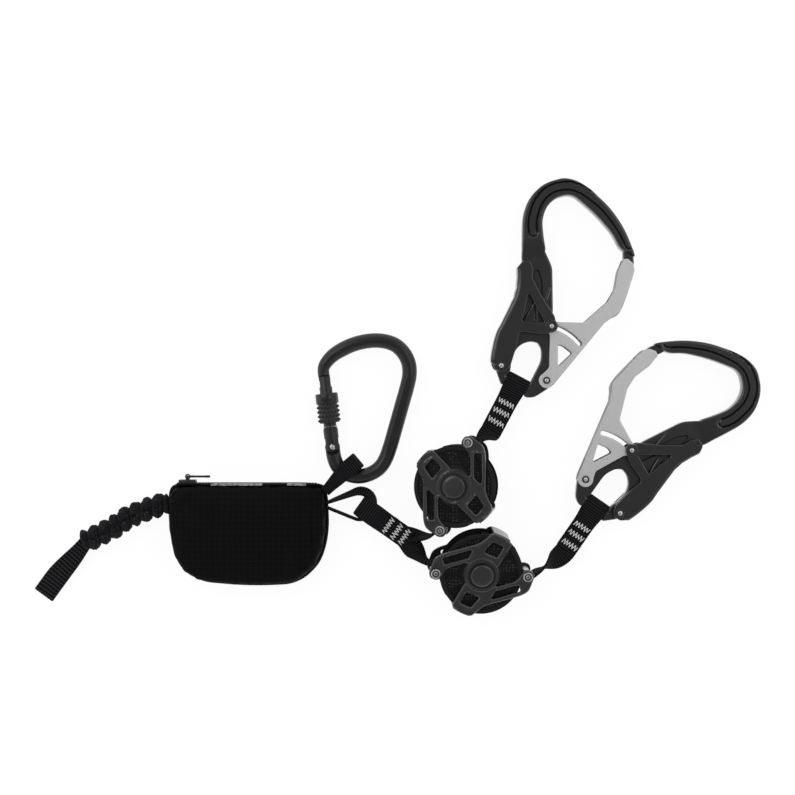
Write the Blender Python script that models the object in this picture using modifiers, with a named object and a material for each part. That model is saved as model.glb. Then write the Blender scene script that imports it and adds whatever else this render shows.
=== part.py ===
"""A via ferrata lanyard, laid out flat: a pouch with a tear-webbing energy absorber, an anchor carabiner,
two arms with spring-loaded webbing reels, and two palm-lock carabiners. Metres, +Z up, floor at zero."""

import math

import bmesh
import bpy
from mathutils import Matrix, Vector

# Fits shared by all pieces
SEAT_GAP = 0.0003
RUNNING_GAP = 0.0004
CUT_OVERRUN = 0.002
MERGE_DISTANCE = 0.00001

# How the lanyard is laid out: how much free strap there is between two pieces, and which way it leads
HARNESS_LENGTH = 0.024288
HARNESS_WAY = math.radians(46.2328)
ABSORBER_REACH = 0.024567
ABSORBER_WAY = math.radians(-0.5831)
YOKE_LENGTH = 0.040678
YOKE_WAY = math.radians(-35.2724)
LEAD_A_FREE = 0.019734
LEAD_A_WAY = math.radians(45.822)
LEAD_B_FREE = 0.026111
LEAD_B_WAY = math.radians(-23.5462)
ARM_A_FREE = 0.014942
ARM_A_WAY = math.radians(59.2695)
ARM_B_FREE = 0.024931
ARM_B_WAY = math.radians(28.4727)
PALM_B_TURN = math.radians(-62.6)
REEL_A_TURN = math.radians(-17.7)
REEL_B_TURN = math.radians(87.3)

# Webbing
STRAP_WIDTH = 0.0156
STRAP_THICKNESS = 0.0020
PLY_GAP = 0.0003
SPAN_STEPS = 11
SEWN_LENGTH = 0.0380
SEWN_START = 0.0155
PALM_A_STRAP_PULLS = (0.012, 0.010)
PALM_B_STRAP_PULLS = (0.024, 0.020)
PALM_A_STRAP_EXIT = math.radians(-38)
PALM_B_STRAP_EXIT = math.radians(40)

# Pouch of fabric round the energy absorber
POUCH_LENGTH = 0.115
POUCH_HEIGHT = 0.028
POUCH_BACK_THICKNESS = 0.0024
POUCH_FABRIC = 0.0016
POUCH_CORNER = 0.004
POUCH_OUTLINE_SHARES = (
    (-0.496, 0.267), (-0.481, 0.299), (-0.423, 0.312), (-0.353, 0.315), (0.379, 0.315),
    (0.477, 0.302), (0.493, 0.229), (0.500, 0.057), (0.487, -0.051), (0.449, -0.172),
    (0.360, -0.264), (0.271, -0.306), (0.099, -0.315), (-0.060, -0.312), (-0.283, -0.293),
    (-0.385, -0.242), (-0.436, -0.185), (-0.474, -0.089), (-0.493, 0.038), (-0.500, 0.153),
)
# Rings of the padded front: height up the side wall, and size against the outline
POUCH_RING_SHARES = ((0.0, 1.0), (0.30, 1.0), (0.62, 0.985), (0.84, 0.94), (0.95, 0.84), (1.0, 0.62))
BINDING_RADIUS = 0.0016
PACK_LENGTH = 0.082
PACK_WIDTH = 0.046
PACK_HEIGHT = 0.015
PACK_CORNER = 0.006
PACK_SHIFT_SHARE = 0.03

# Zip along the top of the pouch
ZIP_END_MARGIN = 0.0055
ZIP_TAPE_WIDTH = 0.012
ZIP_TAPE_THICKNESS = 0.0011
ZIP_TEETH_WIDTH = 0.0042
ZIP_TEETH_DEPTH = 0.0015
ZIP_HEIGHT_SHARE = 0.46
SLIDER_LENGTH = 0.0125
SLIDER_WIDTH = 0.0085
SLIDER_FACE = 0.0013
SLIDER_POST_RADIUS = 0.0008
SLIDER_POST_RISE = 0.0022
SLIDER_LUG = 0.0011
PULLER_LENGTH = 0.0165
PULLER_WIDTH = 0.0032
PULLER_THICKNESS = 0.0014

# Elastic leash with a ruched sleeve
LEASH_LUMPS = 8
LEASH_RADIUS = 0.0083
LEASH_NECK_RADIUS = 0.0068
LEASH_REACH = 0.088884
LEASH_STAND_OFF = 0.004708
LEASH_EXIT_SHARE = 0.194870
LEASH_ROUTE_SHARES = ((0.0, 0.0), (-0.1300, -0.0425), (-0.2849, -0.1094), (-0.4459, -0.2126), (-0.6100, -0.2916))
TAIL_WIDTH = 0.0165
TAIL_ROUTE_SHARES = ((-0.6403, -0.3129), (-0.7315, -0.4253), (-0.8469, -0.5772), (-1.0000, -0.7552))

# Anchor carabiner: a round bar with a screw-locked gate
ANCHOR_LENGTH = 0.112
ANCHOR_BAR_RADIUS = 0.0054
ANCHOR_NOSE_RADIUS = 0.0041
ANCHOR_TONGUE = 0.0046
ANCHOR_CENTRE_LINE_SHARES = (
    (-0.051, 0.438), (-0.060, 0.506), (-0.038, 0.557), (0.019, 0.612), (0.121, 0.666),
    (0.223, 0.693), (0.317, 0.696), (0.402, 0.673), (0.461, 0.623), (0.496, 0.558),
    (0.505, 0.485), (0.491, 0.404), (0.453, 0.268), (0.415, 0.133), (0.378, 0.004),
    (0.347, -0.080), (0.309, -0.136), (0.254, -0.173), (0.188, -0.192), (0.127, -0.188),
    (0.073, -0.166), (0.030, -0.120), (0.009, -0.062), (0.000, 0.000),
)
ANCHOR_GATE_LENGTH = 0.0524
ANCHOR_GATE_LEAN = math.radians(6.6)
ANCHOR_GATE_RADIUS = 0.00425
ANCHOR_BARREL_RADIUS = 0.0054
ANCHOR_BARREL_LENGTH = 0.0135
ANCHOR_BARREL_TAIL = 0.0052
ANCHOR_GATE_SLOT_DEPTH = 0.0080
ANCHOR_PIN_RADIUS = 0.0017
SLEEVE_RADIUS = 0.0085
SLEEVE_BORE_RADIUS = 0.0049
SLEEVE_LENGTH = 0.0218
SLEEVE_START = 0.0178
SLEEVE_COLLAR_SHARE = 0.36
SLEEVE_RIBS = 14
SLEEVE_RIB_DEPTH = 0.0007
ANCHOR_LOOP_INDEX = 20
ANCHOR_LOOP_WIDTH = 0.0125
ANCHOR_LOOP_SLACK = 0.0026
HARNESS_EXIT_SHARE = (0.465, 0.246)

# The absorber's webbing loop, standing on edge, that the yoke passes through
ABSORBER_LOOP_RADIUS = 0.0105
ABSORBER_LOOP_HEIGHT = 0.0096
ABSORBER_LOOP_LEVEL = 0.0100
ABSORBER_EXIT_SHARE = (0.502, 0.19)

# How far the two leads turn apart past the yoke's stitching, and where the upper lead is sewn on
YOKE_SPREAD = (math.radians(-14), math.radians(40))
LEAD_SHARES = (0.58, 0.84)

# Palm-lock carabiner: a forged body, a plate gate and a squeezed lever that locks it
PALM_LENGTH = 0.162
PALM_CORE = 0.0080
PALM_BASKET_DEPTH = 0.0122
PALM_CORNER = 0.0028
PALM_EDGE = 0.0008
PALM_LOWER_SHARES = (
    (-0.028, 0.599), (-0.093, 0.599), (-0.102, 0.543), (-0.065, 0.540), (-0.068, 0.481),
    (-0.072, 0.407), (-0.117, 0.321), (-0.183, 0.216), (-0.218, 0.123), (-0.230, 0.074),
    (-0.226, 0.043), (-0.205, -0.016), (-0.194, -0.019), (-0.160, 0.047), (-0.159, 0.083),
    (-0.139, 0.137), (-0.112, 0.164), (-0.072, 0.177), (-0.039, 0.170), (-0.022, 0.143),
    (-0.022, 0.090), (-0.046, 0.043), (-0.069, -0.002), (-0.107, -0.075), (-0.059, -0.080),
    (-0.006, -0.047), (0.028, -0.021), (0.032, 0.012), (0.011, 0.057), (0.015, 0.204),
    (0.031, 0.290), (0.028, 0.510), (0.010, 0.552), (-0.010, 0.593),
)
PALM_NOSE_SHARES = (
    (0.349, 0.611), (0.373, 0.611), (0.396, 0.557), (0.396, 0.519), (0.383, 0.491),
    (0.365, 0.491), (0.353, 0.519), (0.347, 0.562),
)
PALM_BASKET_SHARES = (
    (0.402, 0.554), (0.395, 0.584), (0.355, 0.684), (0.288, 0.784), (0.201, 0.864),
    (0.141, 0.902), (0.081, 0.917), (-0.012, 0.891), (-0.079, 0.824), (-0.107, 0.744),
    (-0.109, 0.637), (-0.109, 0.549), (-0.021, 0.549), (-0.001, 0.584), (-0.012, 0.644),
    (-0.019, 0.724), (0.001, 0.784), (0.041, 0.824), (0.094, 0.838), (0.128, 0.831),
    (0.222, 0.751), (0.302, 0.657), (0.333, 0.589),
)
# The long groove forged into both faces of the basket, and its width and depth
PALM_GROOVE_SHARES = (
    (0.362, 0.596), (0.328, 0.672), (0.262, 0.768), (0.180, 0.838), (0.128, 0.868),
    (0.082, 0.876), (0.014, 0.860), (-0.036, 0.812), (-0.060, 0.736), (-0.062, 0.678),
    (-0.054, 0.640),
)
# Where the basket's extra depth runs out into the spine, between two corners of the left limb
PALM_RAMP_SHARES = ((-0.135, 0.545), (0.040, 0.630))
PALM_GROOVE_WIDTH = 0.0052
PALM_GROOVE_DEPTH = 0.0016
PALM_BAR_SHARE = (-0.135, -0.016)
PALM_BAR_DIRECTION = (0.884, -0.468)
PALM_BAR_RADIUS = 0.0042
PALM_BAR_BAY = 0.0084
PALM_BAR_ROOT = 0.0022
GATE_PLATE = 0.0020
GATE_RIM = 0.0020
GATE_CORNER = 0.0024
GATE_SHARES = (
    (0.352, 0.551), (0.375, 0.554), (0.398, 0.530), (0.402, 0.497), (0.388, 0.457),
    (0.331, 0.307), (0.262, 0.260), (0.155, 0.130), (0.030, -0.022), (-0.009, -0.036),
    (-0.036, 0.000), (-0.012, 0.035), (0.011, 0.057), (0.015, 0.204), (-0.003, 0.232),
    (0.001, 0.266), (0.030, 0.272), (0.052, 0.263), (0.168, 0.260), (0.275, 0.354),
    (0.308, 0.410), (0.322, 0.491), (0.345, 0.544),
)
GATE_WINDOW_SHARES = ((0.051, 0.160), (0.075, 0.157), (0.117, 0.123), (0.051, 0.060))
GATE_OUTER_RIM_SHARES = ((0.383, 0.447), (0.331, 0.307), (0.262, 0.260), (0.155, 0.130), (0.085, 0.046))
GATE_INNER_RIM_SHARES = ((0.287, 0.372), (0.308, 0.410), (0.322, 0.491), (0.333, 0.517))
GATE_SWING = math.radians(32.0)
LEVER_PLATE = 0.0020
LEVER_WALL = 0.0018
LEVER_CORNER = 0.0026
LEVER_SHARES = (
    (-0.106, 0.524), (-0.070, 0.488), (-0.067, 0.462), (-0.027, 0.388), (0.008, 0.333),
    (0.035, 0.290), (0.046, 0.246), (0.028, 0.219), (0.004, 0.211), (-0.027, 0.209),
    (-0.109, 0.220), (-0.123, 0.214), (-0.135, 0.156), (-0.162, 0.070), (-0.181, 0.044),
    (-0.207, 0.035), (-0.235, 0.051), (-0.252, 0.091), (-0.242, 0.156), (-0.225, 0.217),
    (-0.203, 0.259), (-0.172, 0.322), (-0.146, 0.375), (-0.134, 0.420), (-0.131, 0.469),
    (-0.132, 0.507),
)
LEVER_WINDOW_SHARES = ((-0.081, 0.398), (-0.110, 0.263), (-0.009, 0.259))
LEVER_WALL_SHARES = (
    (-0.244, 0.076), (-0.252, 0.091), (-0.242, 0.156), (-0.225, 0.217), (-0.203, 0.259),
    (-0.172, 0.322), (-0.146, 0.375), (-0.134, 0.420), (-0.131, 0.469), (-0.132, 0.505),
)
LEVER_PIVOT_SHARE = (-0.205, 0.067)
LOCK_PIN_SHARE = (0.022, 0.244)
LEVER_SQUEEZE = math.radians(6.0)
LOCK_PIN_RADIUS = 0.0014
PALM_PIN_RADIUS = 0.0019
PALM_PIN_HEAD_RADIUS = 0.0032
PALM_PIN_HEAD = 0.0006
SPRING_WIRE = 0.0007
SPRING_TURNS = 3
SPRING_STEPS = 6
SPRING_POCKET = 0.0044

# Webbing reel: a spool on an axle between two S-shaped frames
REEL_RADIUS = 0.0298
FLANGE_THICKNESS = 0.0012
FRAME_THICKNESS = 0.0024
SPOOL_CORE_RADIUS = 0.0106
SPOOL_CHAMBER_RADIUS = 0.0090
AXLE_RADIUS = 0.0026
HUB_RING_RADIUS = 0.0130
HUB_RING_RISE = 0.0009
HUB_CAP_RADIUS = 0.0082
HUB_CAP_RISE = 0.0024
POST_OFFSET = 0.0335
POST_RADIUS = 0.0029
POST_STEM_RADIUS = 0.0017
POST_HEAD_RADIUS = 0.0034
POST_HEAD_RISE = 0.0010
FRAME_CORNER = 0.0022
FRAME_WALL = 0.0016
FRAME_HALF_SHARES = (
    (-0.148, 1.027), (-0.168, 1.124), (-0.117, 1.245), (0.000, 1.292), (0.362, 1.178),
    (0.463, 1.037), (0.540, 0.836), (0.758, 0.144), (0.866, -0.013), (1.034, -0.178),
    (1.037, -0.268), (0.993, -0.423), (0.913, -0.557), (0.785, -0.691), (0.074, -0.322),
    (-0.309, -0.342), (-0.144, -0.842), (0.030, -0.970),
)
FRAME_SLOT_SHARES = ((0.215, 0.923), (0.389, 0.977), (0.634, 0.238), (0.396, 0.352))
FRAME_DIAMOND_SHARES = ((0.570, -0.013), (0.836, -0.221), (0.715, -0.497), (0.440, -0.349))
FRAME_WALL_FROM = math.radians(-14.0)
FRAME_WALL_TO = math.radians(-36.0)
REEL_TILT = math.radians(10.0)
REEL_LEAN = math.radians(199.0)
COIL_TURNS = 2.5
COIL_STEPS = 16
POWER_SPRING_TURNS = 3
POWER_SPRING_STRIP = 0.0006
POWER_SPRING_WIDTH = 0.0120

# Sizes that follow from those above
ZIP_LENGTH = POUCH_LENGTH - ZIP_END_MARGIN * 2
SPOOL_INNER = STRAP_WIDTH / 2 + SEAT_GAP
SPOOL_OUTER = SPOOL_INNER + FLANGE_THICKNESS
FRAME_INNER = SPOOL_OUTER + SEAT_GAP
FRAME_OUTER = FRAME_INNER + FRAME_THICKNESS
HUB_RING_TOP = FRAME_OUTER + HUB_RING_RISE
HUB_CAP_TOP = HUB_RING_TOP + HUB_CAP_RISE
GUIDE_RADIUS = POST_RADIUS + SEAT_GAP + STRAP_THICKNESS / 2
WRAP_RADIUS = POST_OFFSET - GUIDE_RADIUS
COIL_OUTER_RADIUS = WRAP_RADIUS - STRAP_THICKNESS - RUNNING_GAP
COIL_INNER_RADIUS = SPOOL_CORE_RADIUS + SEAT_GAP + STRAP_THICKNESS / 2
GATE_INNER = PALM_CORE / 2 + SEAT_GAP
GATE_OUTER = GATE_INNER + GATE_PLATE
LEVER_INNER = GATE_OUTER + SEAT_GAP
LEVER_OUTER = LEVER_INNER + LEVER_PLATE
PALM_HALF_DEPTH = LEVER_OUTER + PALM_PIN_HEAD
PALM_LOOP_RADIUS = PALM_BAR_RADIUS + SEAT_GAP + STRAP_THICKNESS / 2
ANCHOR_LOOP_RADIUS = ANCHOR_BAR_RADIUS + ANCHOR_LOOP_SLACK + STRAP_THICKNESS / 2
PLY_OFFSET = (STRAP_THICKNESS + PLY_GAP) / 2
REEL_CENTRE_HEIGHT = (
    HUB_CAP_RADIUS * math.sin(REEL_TILT) + HUB_CAP_TOP * math.cos(REEL_TILT) + SEAT_GAP
)
UP = Vector((0, 0, 1))


def reached(start, length, way):
    return start + Vector((math.cos(way), math.sin(way))) * length


# Where the pieces lie, each from the one before it and the strap between the two
POUCH_PLACE = Vector((0, 0))
HARNESS_EXIT = POUCH_PLACE + Vector(HARNESS_EXIT_SHARE) * POUCH_LENGTH
ABSORBER_EXIT = POUCH_PLACE + Vector(ABSORBER_EXIT_SHARE) * POUCH_LENGTH
ANCHOR_LOOP_PLACE = reached(HARNESS_EXIT, HARNESS_LENGTH, HARNESS_WAY)
ANCHOR_PLACE = ANCHOR_LOOP_PLACE - Vector(ANCHOR_CENTRE_LINE_SHARES[ANCHOR_LOOP_INDEX]) * ANCHOR_LENGTH
YOKE_FOLD_PLACE = reached(ABSORBER_EXIT, ABSORBER_REACH, ABSORBER_WAY)
YOKE_SPLIT_PLACE = reached(YOKE_FOLD_PLACE, YOKE_LENGTH, YOKE_WAY)
REEL_A_PLACE = reached(YOKE_SPLIT_PLACE, LEAD_A_FREE + POST_OFFSET, LEAD_A_WAY)
REEL_B_PLACE = reached(YOKE_SPLIT_PLACE, LEAD_B_FREE + POST_OFFSET, LEAD_B_WAY)
PALM_BAR = Vector(PALM_BAR_SHARE) * PALM_LENGTH
PALM_A_PLACE = reached(REEL_A_PLACE, POST_OFFSET + ARM_A_FREE + SEWN_LENGTH, ARM_A_WAY) - PALM_BAR
PALM_B_PLACE = reached(REEL_B_PLACE, POST_OFFSET + ARM_B_FREE + SEWN_LENGTH, ARM_B_WAY) - (
    Matrix.Rotation(PALM_B_TURN, 2) @ Vector((-PALM_BAR.x, PALM_BAR.y))
)
LEASH_PLACE = POUCH_PLACE + Vector((-POUCH_LENGTH / 2 - LEASH_STAND_OFF, LEASH_EXIT_SHARE * POUCH_LENGTH))


# Scene, collections and materials

for old in list(bpy.data.objects):
    bpy.data.objects.remove(old, do_unlink=True)

LANYARD = bpy.data.collections.new("via_ferrata_lanyard")
CUTTERS = bpy.data.collections.new("cutters")
bpy.context.scene.collection.children.link(LANYARD)
bpy.context.scene.collection.children.link(CUTTERS)


def material(name, colour, roughness, metallic=0.0):
    made = bpy.data.materials.new(name)
    made.use_nodes = True
    shader = made.node_tree.nodes["Principled BSDF"]
    shader.inputs["Base Color"].default_value = (*colour, 1)
    shader.inputs["Roughness"].default_value = roughness
    shader.inputs["Metallic"].default_value = metallic
    made.diffuse_color = (*colour, 1)
    return made


WEBBING_BLACK = material("black webbing", (0.012, 0.012, 0.013), 0.85)
FABRIC_BLACK = material("black ripstop fabric", (0.010, 0.010, 0.011), 0.80)
PACK_GREY = material("absorber webbing", (0.030, 0.030, 0.032), 0.85)
ANODISED_BLACK = material("black anodised aluminium", (0.018, 0.018, 0.020), 0.38, 0.6)
SATIN_GREY = material("satin aluminium", (0.52, 0.52, 0.53), 0.36, 1.0)
STEEL = material("steel", (0.42, 0.42, 0.43), 0.30, 1.0)
PLASTIC_BLACK = material("black glass-filled plastic", (0.016, 0.016, 0.017), 0.45)
KNIT_BLACK = material("black textured spool", (0.022, 0.022, 0.023), 0.70)
BINDING_BLACK = material("black binding", (0.020, 0.020, 0.021), 0.45)


# Small tools for making pieces

def sized(shares, size):
    return [Vector((x * size, y * size)) for x, y in shares]


def rounded(corners, radius, steps=2, flowing=False):
    """A closed outline with an arc in each corner, no larger than its sides leave room for.
    A flowing one also has its shallow corners cut, so that it reads as one curve."""
    points = []
    for index, corner in enumerate(corners):
        before = corners[index - 1] - corner
        after = corners[(index + 1) % len(corners)] - corner
        half_angle = before.angle(after) / 2
        reach = min(radius / math.tan(half_angle), min(before.length, after.length) * 0.45)
        if half_angle > math.radians(68) and flowing:
            room = min(before.length, after.length) * 0.25
            points += [corner + before.normalized() * room, corner + after.normalized() * room]
            continue
        if half_angle > math.radians(68) or reach < MERGE_DISTANCE:
            points.append(corner.copy())
            continue
        count = 1 if half_angle > math.radians(52) else steps
        start, end = before.normalized() * reach, after.normalized() * reach
        centre = (before.normalized() + after.normalized()).normalized() * (reach / math.cos(half_angle))
        sweep = (start - centre).angle_signed(end - centre)
        for step in range(count + 1):
            points.append(corner + centre + Matrix.Rotation(-sweep * step / count, 2) @ (start - centre))
    return points


def outset(outline, distance):
    """The same closed outline, drawn clockwise or not, with every side moved out by a distance."""
    area = sum(a.x * b.y - b.x * a.y for a, b in zip(outline, outline[1:] + outline[:1]))
    turn = -1 if area > 0 else 1
    moved = []
    for index, point in enumerate(outline):
        behind = (point - outline[index - 1]).normalized()
        ahead = (outline[(index + 1) % len(outline)] - point).normalized()
        along = (behind + ahead).normalized()
        side = Vector((-along.y, along.x)) * turn
        moved.append(point + side * (distance / max(along.dot(ahead), 0.5)))
    return moved


def link(name, mesh, finish, parent=None, cutter=False):
    made = bpy.data.objects.new(name, mesh)
    (CUTTERS if cutter else LANYARD).objects.link(made)
    if cutter:
        made.hide_render = True
        made.display_type = "WIRE"
    else:
        mesh.materials.clear()
        mesh.materials.append(finish)
    made.parent = parent
    return made


def mesh_from_curve(curve, name):
    """The curve as a closed mesh: its loose caps are welded to its sides."""
    guide = bpy.data.objects.new(name + "_guide", curve)
    bpy.context.scene.collection.objects.link(guide)
    bpy.context.view_layer.update()
    mesh = bpy.data.meshes.new_from_object(guide.evaluated_get(bpy.context.evaluated_depsgraph_get()))
    bpy.data.objects.remove(guide)
    shape = bmesh.new()
    shape.from_mesh(mesh)
    bmesh.ops.remove_doubles(shape, verts=shape.verts, dist=MERGE_DISTANCE)
    bmesh.ops.recalc_face_normals(shape, faces=shape.faces)
    shape.to_mesh(mesh)
    shape.free()
    mesh.name = name
    return mesh


def plate(name, outlines, low, high, finish=None, parent=None, edge=0.0, origin=(0, 0), cutter=False):
    """A flat piece between two heights: the first outline is its edge, and the others are its holes."""
    curve = bpy.data.curves.new(name, "CURVE")
    curve.dimensions = "2D"
    curve.fill_mode = "BOTH"
    curve.extrude = (high - low) / 2 - edge
    curve.bevel_depth = edge
    curve.bevel_resolution = 0
    curve.offset = -edge
    for outline in outlines:
        spline = curve.splines.new("POLY")
        spline.points.add(len(outline) - 1)
        for point, place in zip(spline.points, outline):
            point.co = (place[0] - origin[0], place[1] - origin[1], 0, 1)
        spline.use_cyclic_u = True
    mesh = mesh_from_curve(curve, name)
    mesh.transform(Matrix.Translation((0, 0, (low + high) / 2)))
    made = link(name, mesh, finish, parent, cutter)
    made.location = (origin[0], origin[1], 0)
    return made


def round_bar(name, radius, low, high, finish=None, parent=None, at=(0, 0), sides=16, cutter=False):
    shape = bmesh.new()
    bmesh.ops.create_cone(
        shape, cap_ends=True, segments=sides, radius1=radius, radius2=radius, depth=high - low,
        matrix=Matrix.Translation((0, 0, (low + high) / 2)),
    )
    mesh = bpy.data.meshes.new(name)
    shape.to_mesh(mesh)
    shape.free()
    mesh.shade_smooth()
    mesh.set_sharp_from_angle(angle=math.radians(40))
    made = link(name, mesh, finish, parent, cutter)
    made.location = (at[0], at[1], 0)
    return made


def block(name, low, high, finish=None, parent=None, cutter=False, corner=0.0):
    """A box between two opposite corners, with its edges rounded where a corner radius is given."""
    low, high = Vector(low), Vector(high)
    shape = bmesh.new()
    bmesh.ops.create_cube(shape, size=1)
    bmesh.ops.scale(shape, vec=high - low, verts=shape.verts)
    bmesh.ops.translate(shape, vec=(low + high) / 2, verts=shape.verts)
    mesh = bpy.data.meshes.new(name)
    shape.to_mesh(mesh)
    shape.free()
    made = link(name, mesh, finish, parent, cutter)
    if corner:
        edges = made.modifiers.new("rounded edges", "BEVEL")
        edges.width = corner
        edges.segments = 2
    return made


def turned(name, profile, finish=None, parent=None, steps=24, cutter=False):
    """A turned piece. The profile is a list of radius and height, down the outside first."""
    mesh = bpy.data.meshes.new(name)
    closed = min(radius for radius, _ in profile) > 0
    edges = [(index, index + 1) for index in range(len(profile) - 1)]
    if closed:
        edges.append((len(profile) - 1, 0))
    mesh.from_pydata([(radius, 0, height) for radius, height in profile], edges, [])
    made = link(name, mesh, finish, parent, cutter)
    screw = made.modifiers.new("turning", "SCREW")
    screw.steps = screw.render_steps = steps
    screw.use_merge_vertices = True
    screw.merge_threshold = MERGE_DISTANCE
    screw.use_smooth_shade = False
    return made


def boolean(piece, tool, operation):
    step = piece.modifiers.new(operation.lower(), "BOOLEAN")
    step.operation = operation
    step.object = tool


def cut(piece, tool):
    boolean(piece, tool, "DIFFERENCE")


def join(piece, tool):
    boolean(piece, tool, "UNION")


def tube(name, points, radii, finish, parent=None, sides_level=2, closed=False):
    """A round bar or cord along points, with its own radius at each."""
    curve = bpy.data.curves.new(name, "CURVE")
    curve.dimensions = "3D"
    curve.bevel_depth = 1.0
    curve.bevel_resolution = sides_level
    curve.use_fill_caps = not closed
    spline = curve.splines.new("POLY")
    spline.points.add(len(points) - 1)
    for point, place, radius in zip(spline.points, points, radii):
        point.co = (*place, 1)
        point.radius = radius
    spline.use_cyclic_u = closed
    mesh = mesh_from_curve(curve, name)
    mesh.shade_smooth()
    mesh.set_sharp_from_angle(angle=math.radians(50))
    return link(name, mesh, finish, parent)


def smooth_line(points, steps):
    """Points along a smooth curve through the given ones, so many to each stretch."""
    points = [Vector(point) for point in points]
    made = []
    for index in range(len(points) - 1):
        before = points[max(index - 1, 0)]
        start, end = points[index], points[index + 1]
        after = points[min(index + 2, len(points) - 1)]
        for step in range(steps):
            t = step / steps
            made.append(
                (2 * start + (end - before) * t
                 + (2 * before - 5 * start + 4 * end - after) * t * t
                 + (3 * start - before - 3 * end + after) * t ** 3) / 2
            )
    made.append(points[-1])
    return made


def strip(path, width):
    """The outline of a band of one width, laid to the left of a line of points."""
    inner = []
    for index, point in enumerate(path):
        ahead = path[min(index + 1, len(path) - 1)] - point
        behind = point - path[max(index - 1, 0)]
        along = (ahead.normalized() + behind.normalized()).normalized()
        side = Vector((-along.y, along.x))
        lean = max(along.dot((ahead if ahead.length else behind).normalized()), 0.7)
        inner.append(point + side * (width / lean))
    return list(path) + inner[::-1]


def circle(centre, radius, count):
    turns = [2 * math.pi * step / count for step in range(count)]
    return [Vector((centre[0] + radius * math.cos(t), centre[1] + radius * math.sin(t))) for t in turns]


# Webbing: each strap is one band through stations, and a station is its middle, the direction of its
# width and the width itself, so that a strap can lie flat, stand on edge or turn between the two.

def webbing(name, stations, parent=None, finish=None, thickness=STRAP_THICKNESS):
    shape = bmesh.new()
    rings = []
    last = len(stations) - 1
    for index, (middle, across, width) in enumerate(stations):
        ahead = (stations[min(index + 1, last)][0] - stations[max(index - 1, 0)][0]).normalized()
        across = (across - ahead * across.dot(ahead)).normalized()
        side = across * (width / 2)
        rise = ahead.cross(across) * (thickness / 2)
        corners = (middle - side - rise, middle + side - rise, middle + side + rise, middle - side + rise)
        rings.append([shape.verts.new(corner) for corner in corners])
    for ring, following in zip(rings, rings[1:]):
        for k in range(4):
            after = (k + 1) % 4
            shape.faces.new((ring[k], ring[after], following[after], following[k]))
    shape.faces.new(rings[0][::-1])
    shape.faces.new(rings[-1])
    bmesh.ops.recalc_face_normals(shape, faces=shape.faces)
    mesh = bpy.data.meshes.new(name)
    shape.to_mesh(mesh)
    shape.free()
    return link(name, mesh, finish or WEBBING_BLACK, parent)


def span(start, start_pull, end, end_pull, steps=SPAN_STEPS):
    """Stations from one to another along a smooth curve that leaves and arrives by the two pulls."""
    made = []
    for step in range(1, steps):
        t = step / steps
        ease = t * t * (3 - 2 * t)
        middle = (
            start[0] * (2 * t ** 3 - 3 * t * t + 1) + start_pull * (t ** 3 - 2 * t * t + t)
            + end[0] * (3 * t * t - 2 * t ** 3) + end_pull * (t ** 3 - t * t)
        )
        made.append((middle, start[1].lerp(end[1], ease), start[2] + (end[2] - start[2]) * ease))
    return made


def fold_round(centre, along, across, radius, width, steps=6):
    """Stations of a half turn round a bar, from below it to above it, bulging along the given way."""
    made = []
    for step in range(steps + 1):
        turn = math.pi * (step / steps - 0.5)
        made.append((centre + along * (radius * math.cos(turn)) + UP * (radius * math.sin(turn)), across, width))
    return made


def frame_empty(name, place, height, turn=None):
    empty = bpy.data.objects.new(name, None)
    LANYARD.objects.link(empty)
    empty.empty_display_size = REEL_RADIUS / 4
    empty.matrix_world = Matrix.Translation((place.x, place.y, height)) @ (turn or Matrix.Identity(4))
    bpy.context.view_layer.update()
    return empty


# Webbing reel

def reel_frame(name, side, parent):
    """One S-shaped frame plate with its windows, its raised hub ring and its guard walls."""
    half = sized(FRAME_HALF_SHARES, REEL_RADIUS)
    outline = rounded(half + [-point for point in half], FRAME_CORNER, steps=1)
    holes = []
    for shares in (FRAME_SLOT_SHARES, FRAME_DIAMOND_SHARES):
        window = sized(shares, REEL_RADIUS)
        holes += [rounded(each, FRAME_CORNER / 2, steps=1) for each in (window, [-point for point in window])]
    stem_hole = (POST_STEM_RADIUS + SEAT_GAP) / math.cos(math.pi / 6)
    holes += [circle((0, POST_OFFSET), stem_hole, 6), circle((0, -POST_OFFSET), stem_hole, 6)]
    low, high = sorted((side * FRAME_INNER, side * FRAME_OUTER))
    made = plate(name, [outline] + holes, low, high, PLASTIC_BLACK, parent)
    low, high = sorted((side * FRAME_INNER, side * HUB_RING_TOP))
    join(made, round_bar(name + "_hub_ring", HUB_RING_RADIUS, low, high, None, parent, sides=16, cutter=True))
    reach = REEL_RADIUS + SEAT_GAP * 3
    for turn in (0, math.pi):
        angles = [FRAME_WALL_FROM + (FRAME_WALL_TO - FRAME_WALL_FROM) * k / 3 + turn for k in range(4)]
        outer = [Vector((math.cos(a), math.sin(a))) * (reach + FRAME_WALL) for a in angles]
        inner = [Vector((math.cos(a), math.sin(a))) * reach for a in angles]
        low, high = sorted((side * SEAT_GAP / 2, side * (FRAME_INNER + SEAT_GAP)))
        wall = plate(f"{name}_wall_{int(turn)}", [outer + inner[::-1]], low, high, None, parent, cutter=True)
        join(made, wall)
    low, high = sorted((side * (FRAME_INNER - CUT_OVERRUN), side * (HUB_RING_TOP + CUT_OVERRUN)))
    axle_hole = round_bar(name + "_axle_hole", AXLE_RADIUS + SEAT_GAP, low, high, None, parent, sides=10, cutter=True)
    cut(made, axle_hole)
    return made


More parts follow.
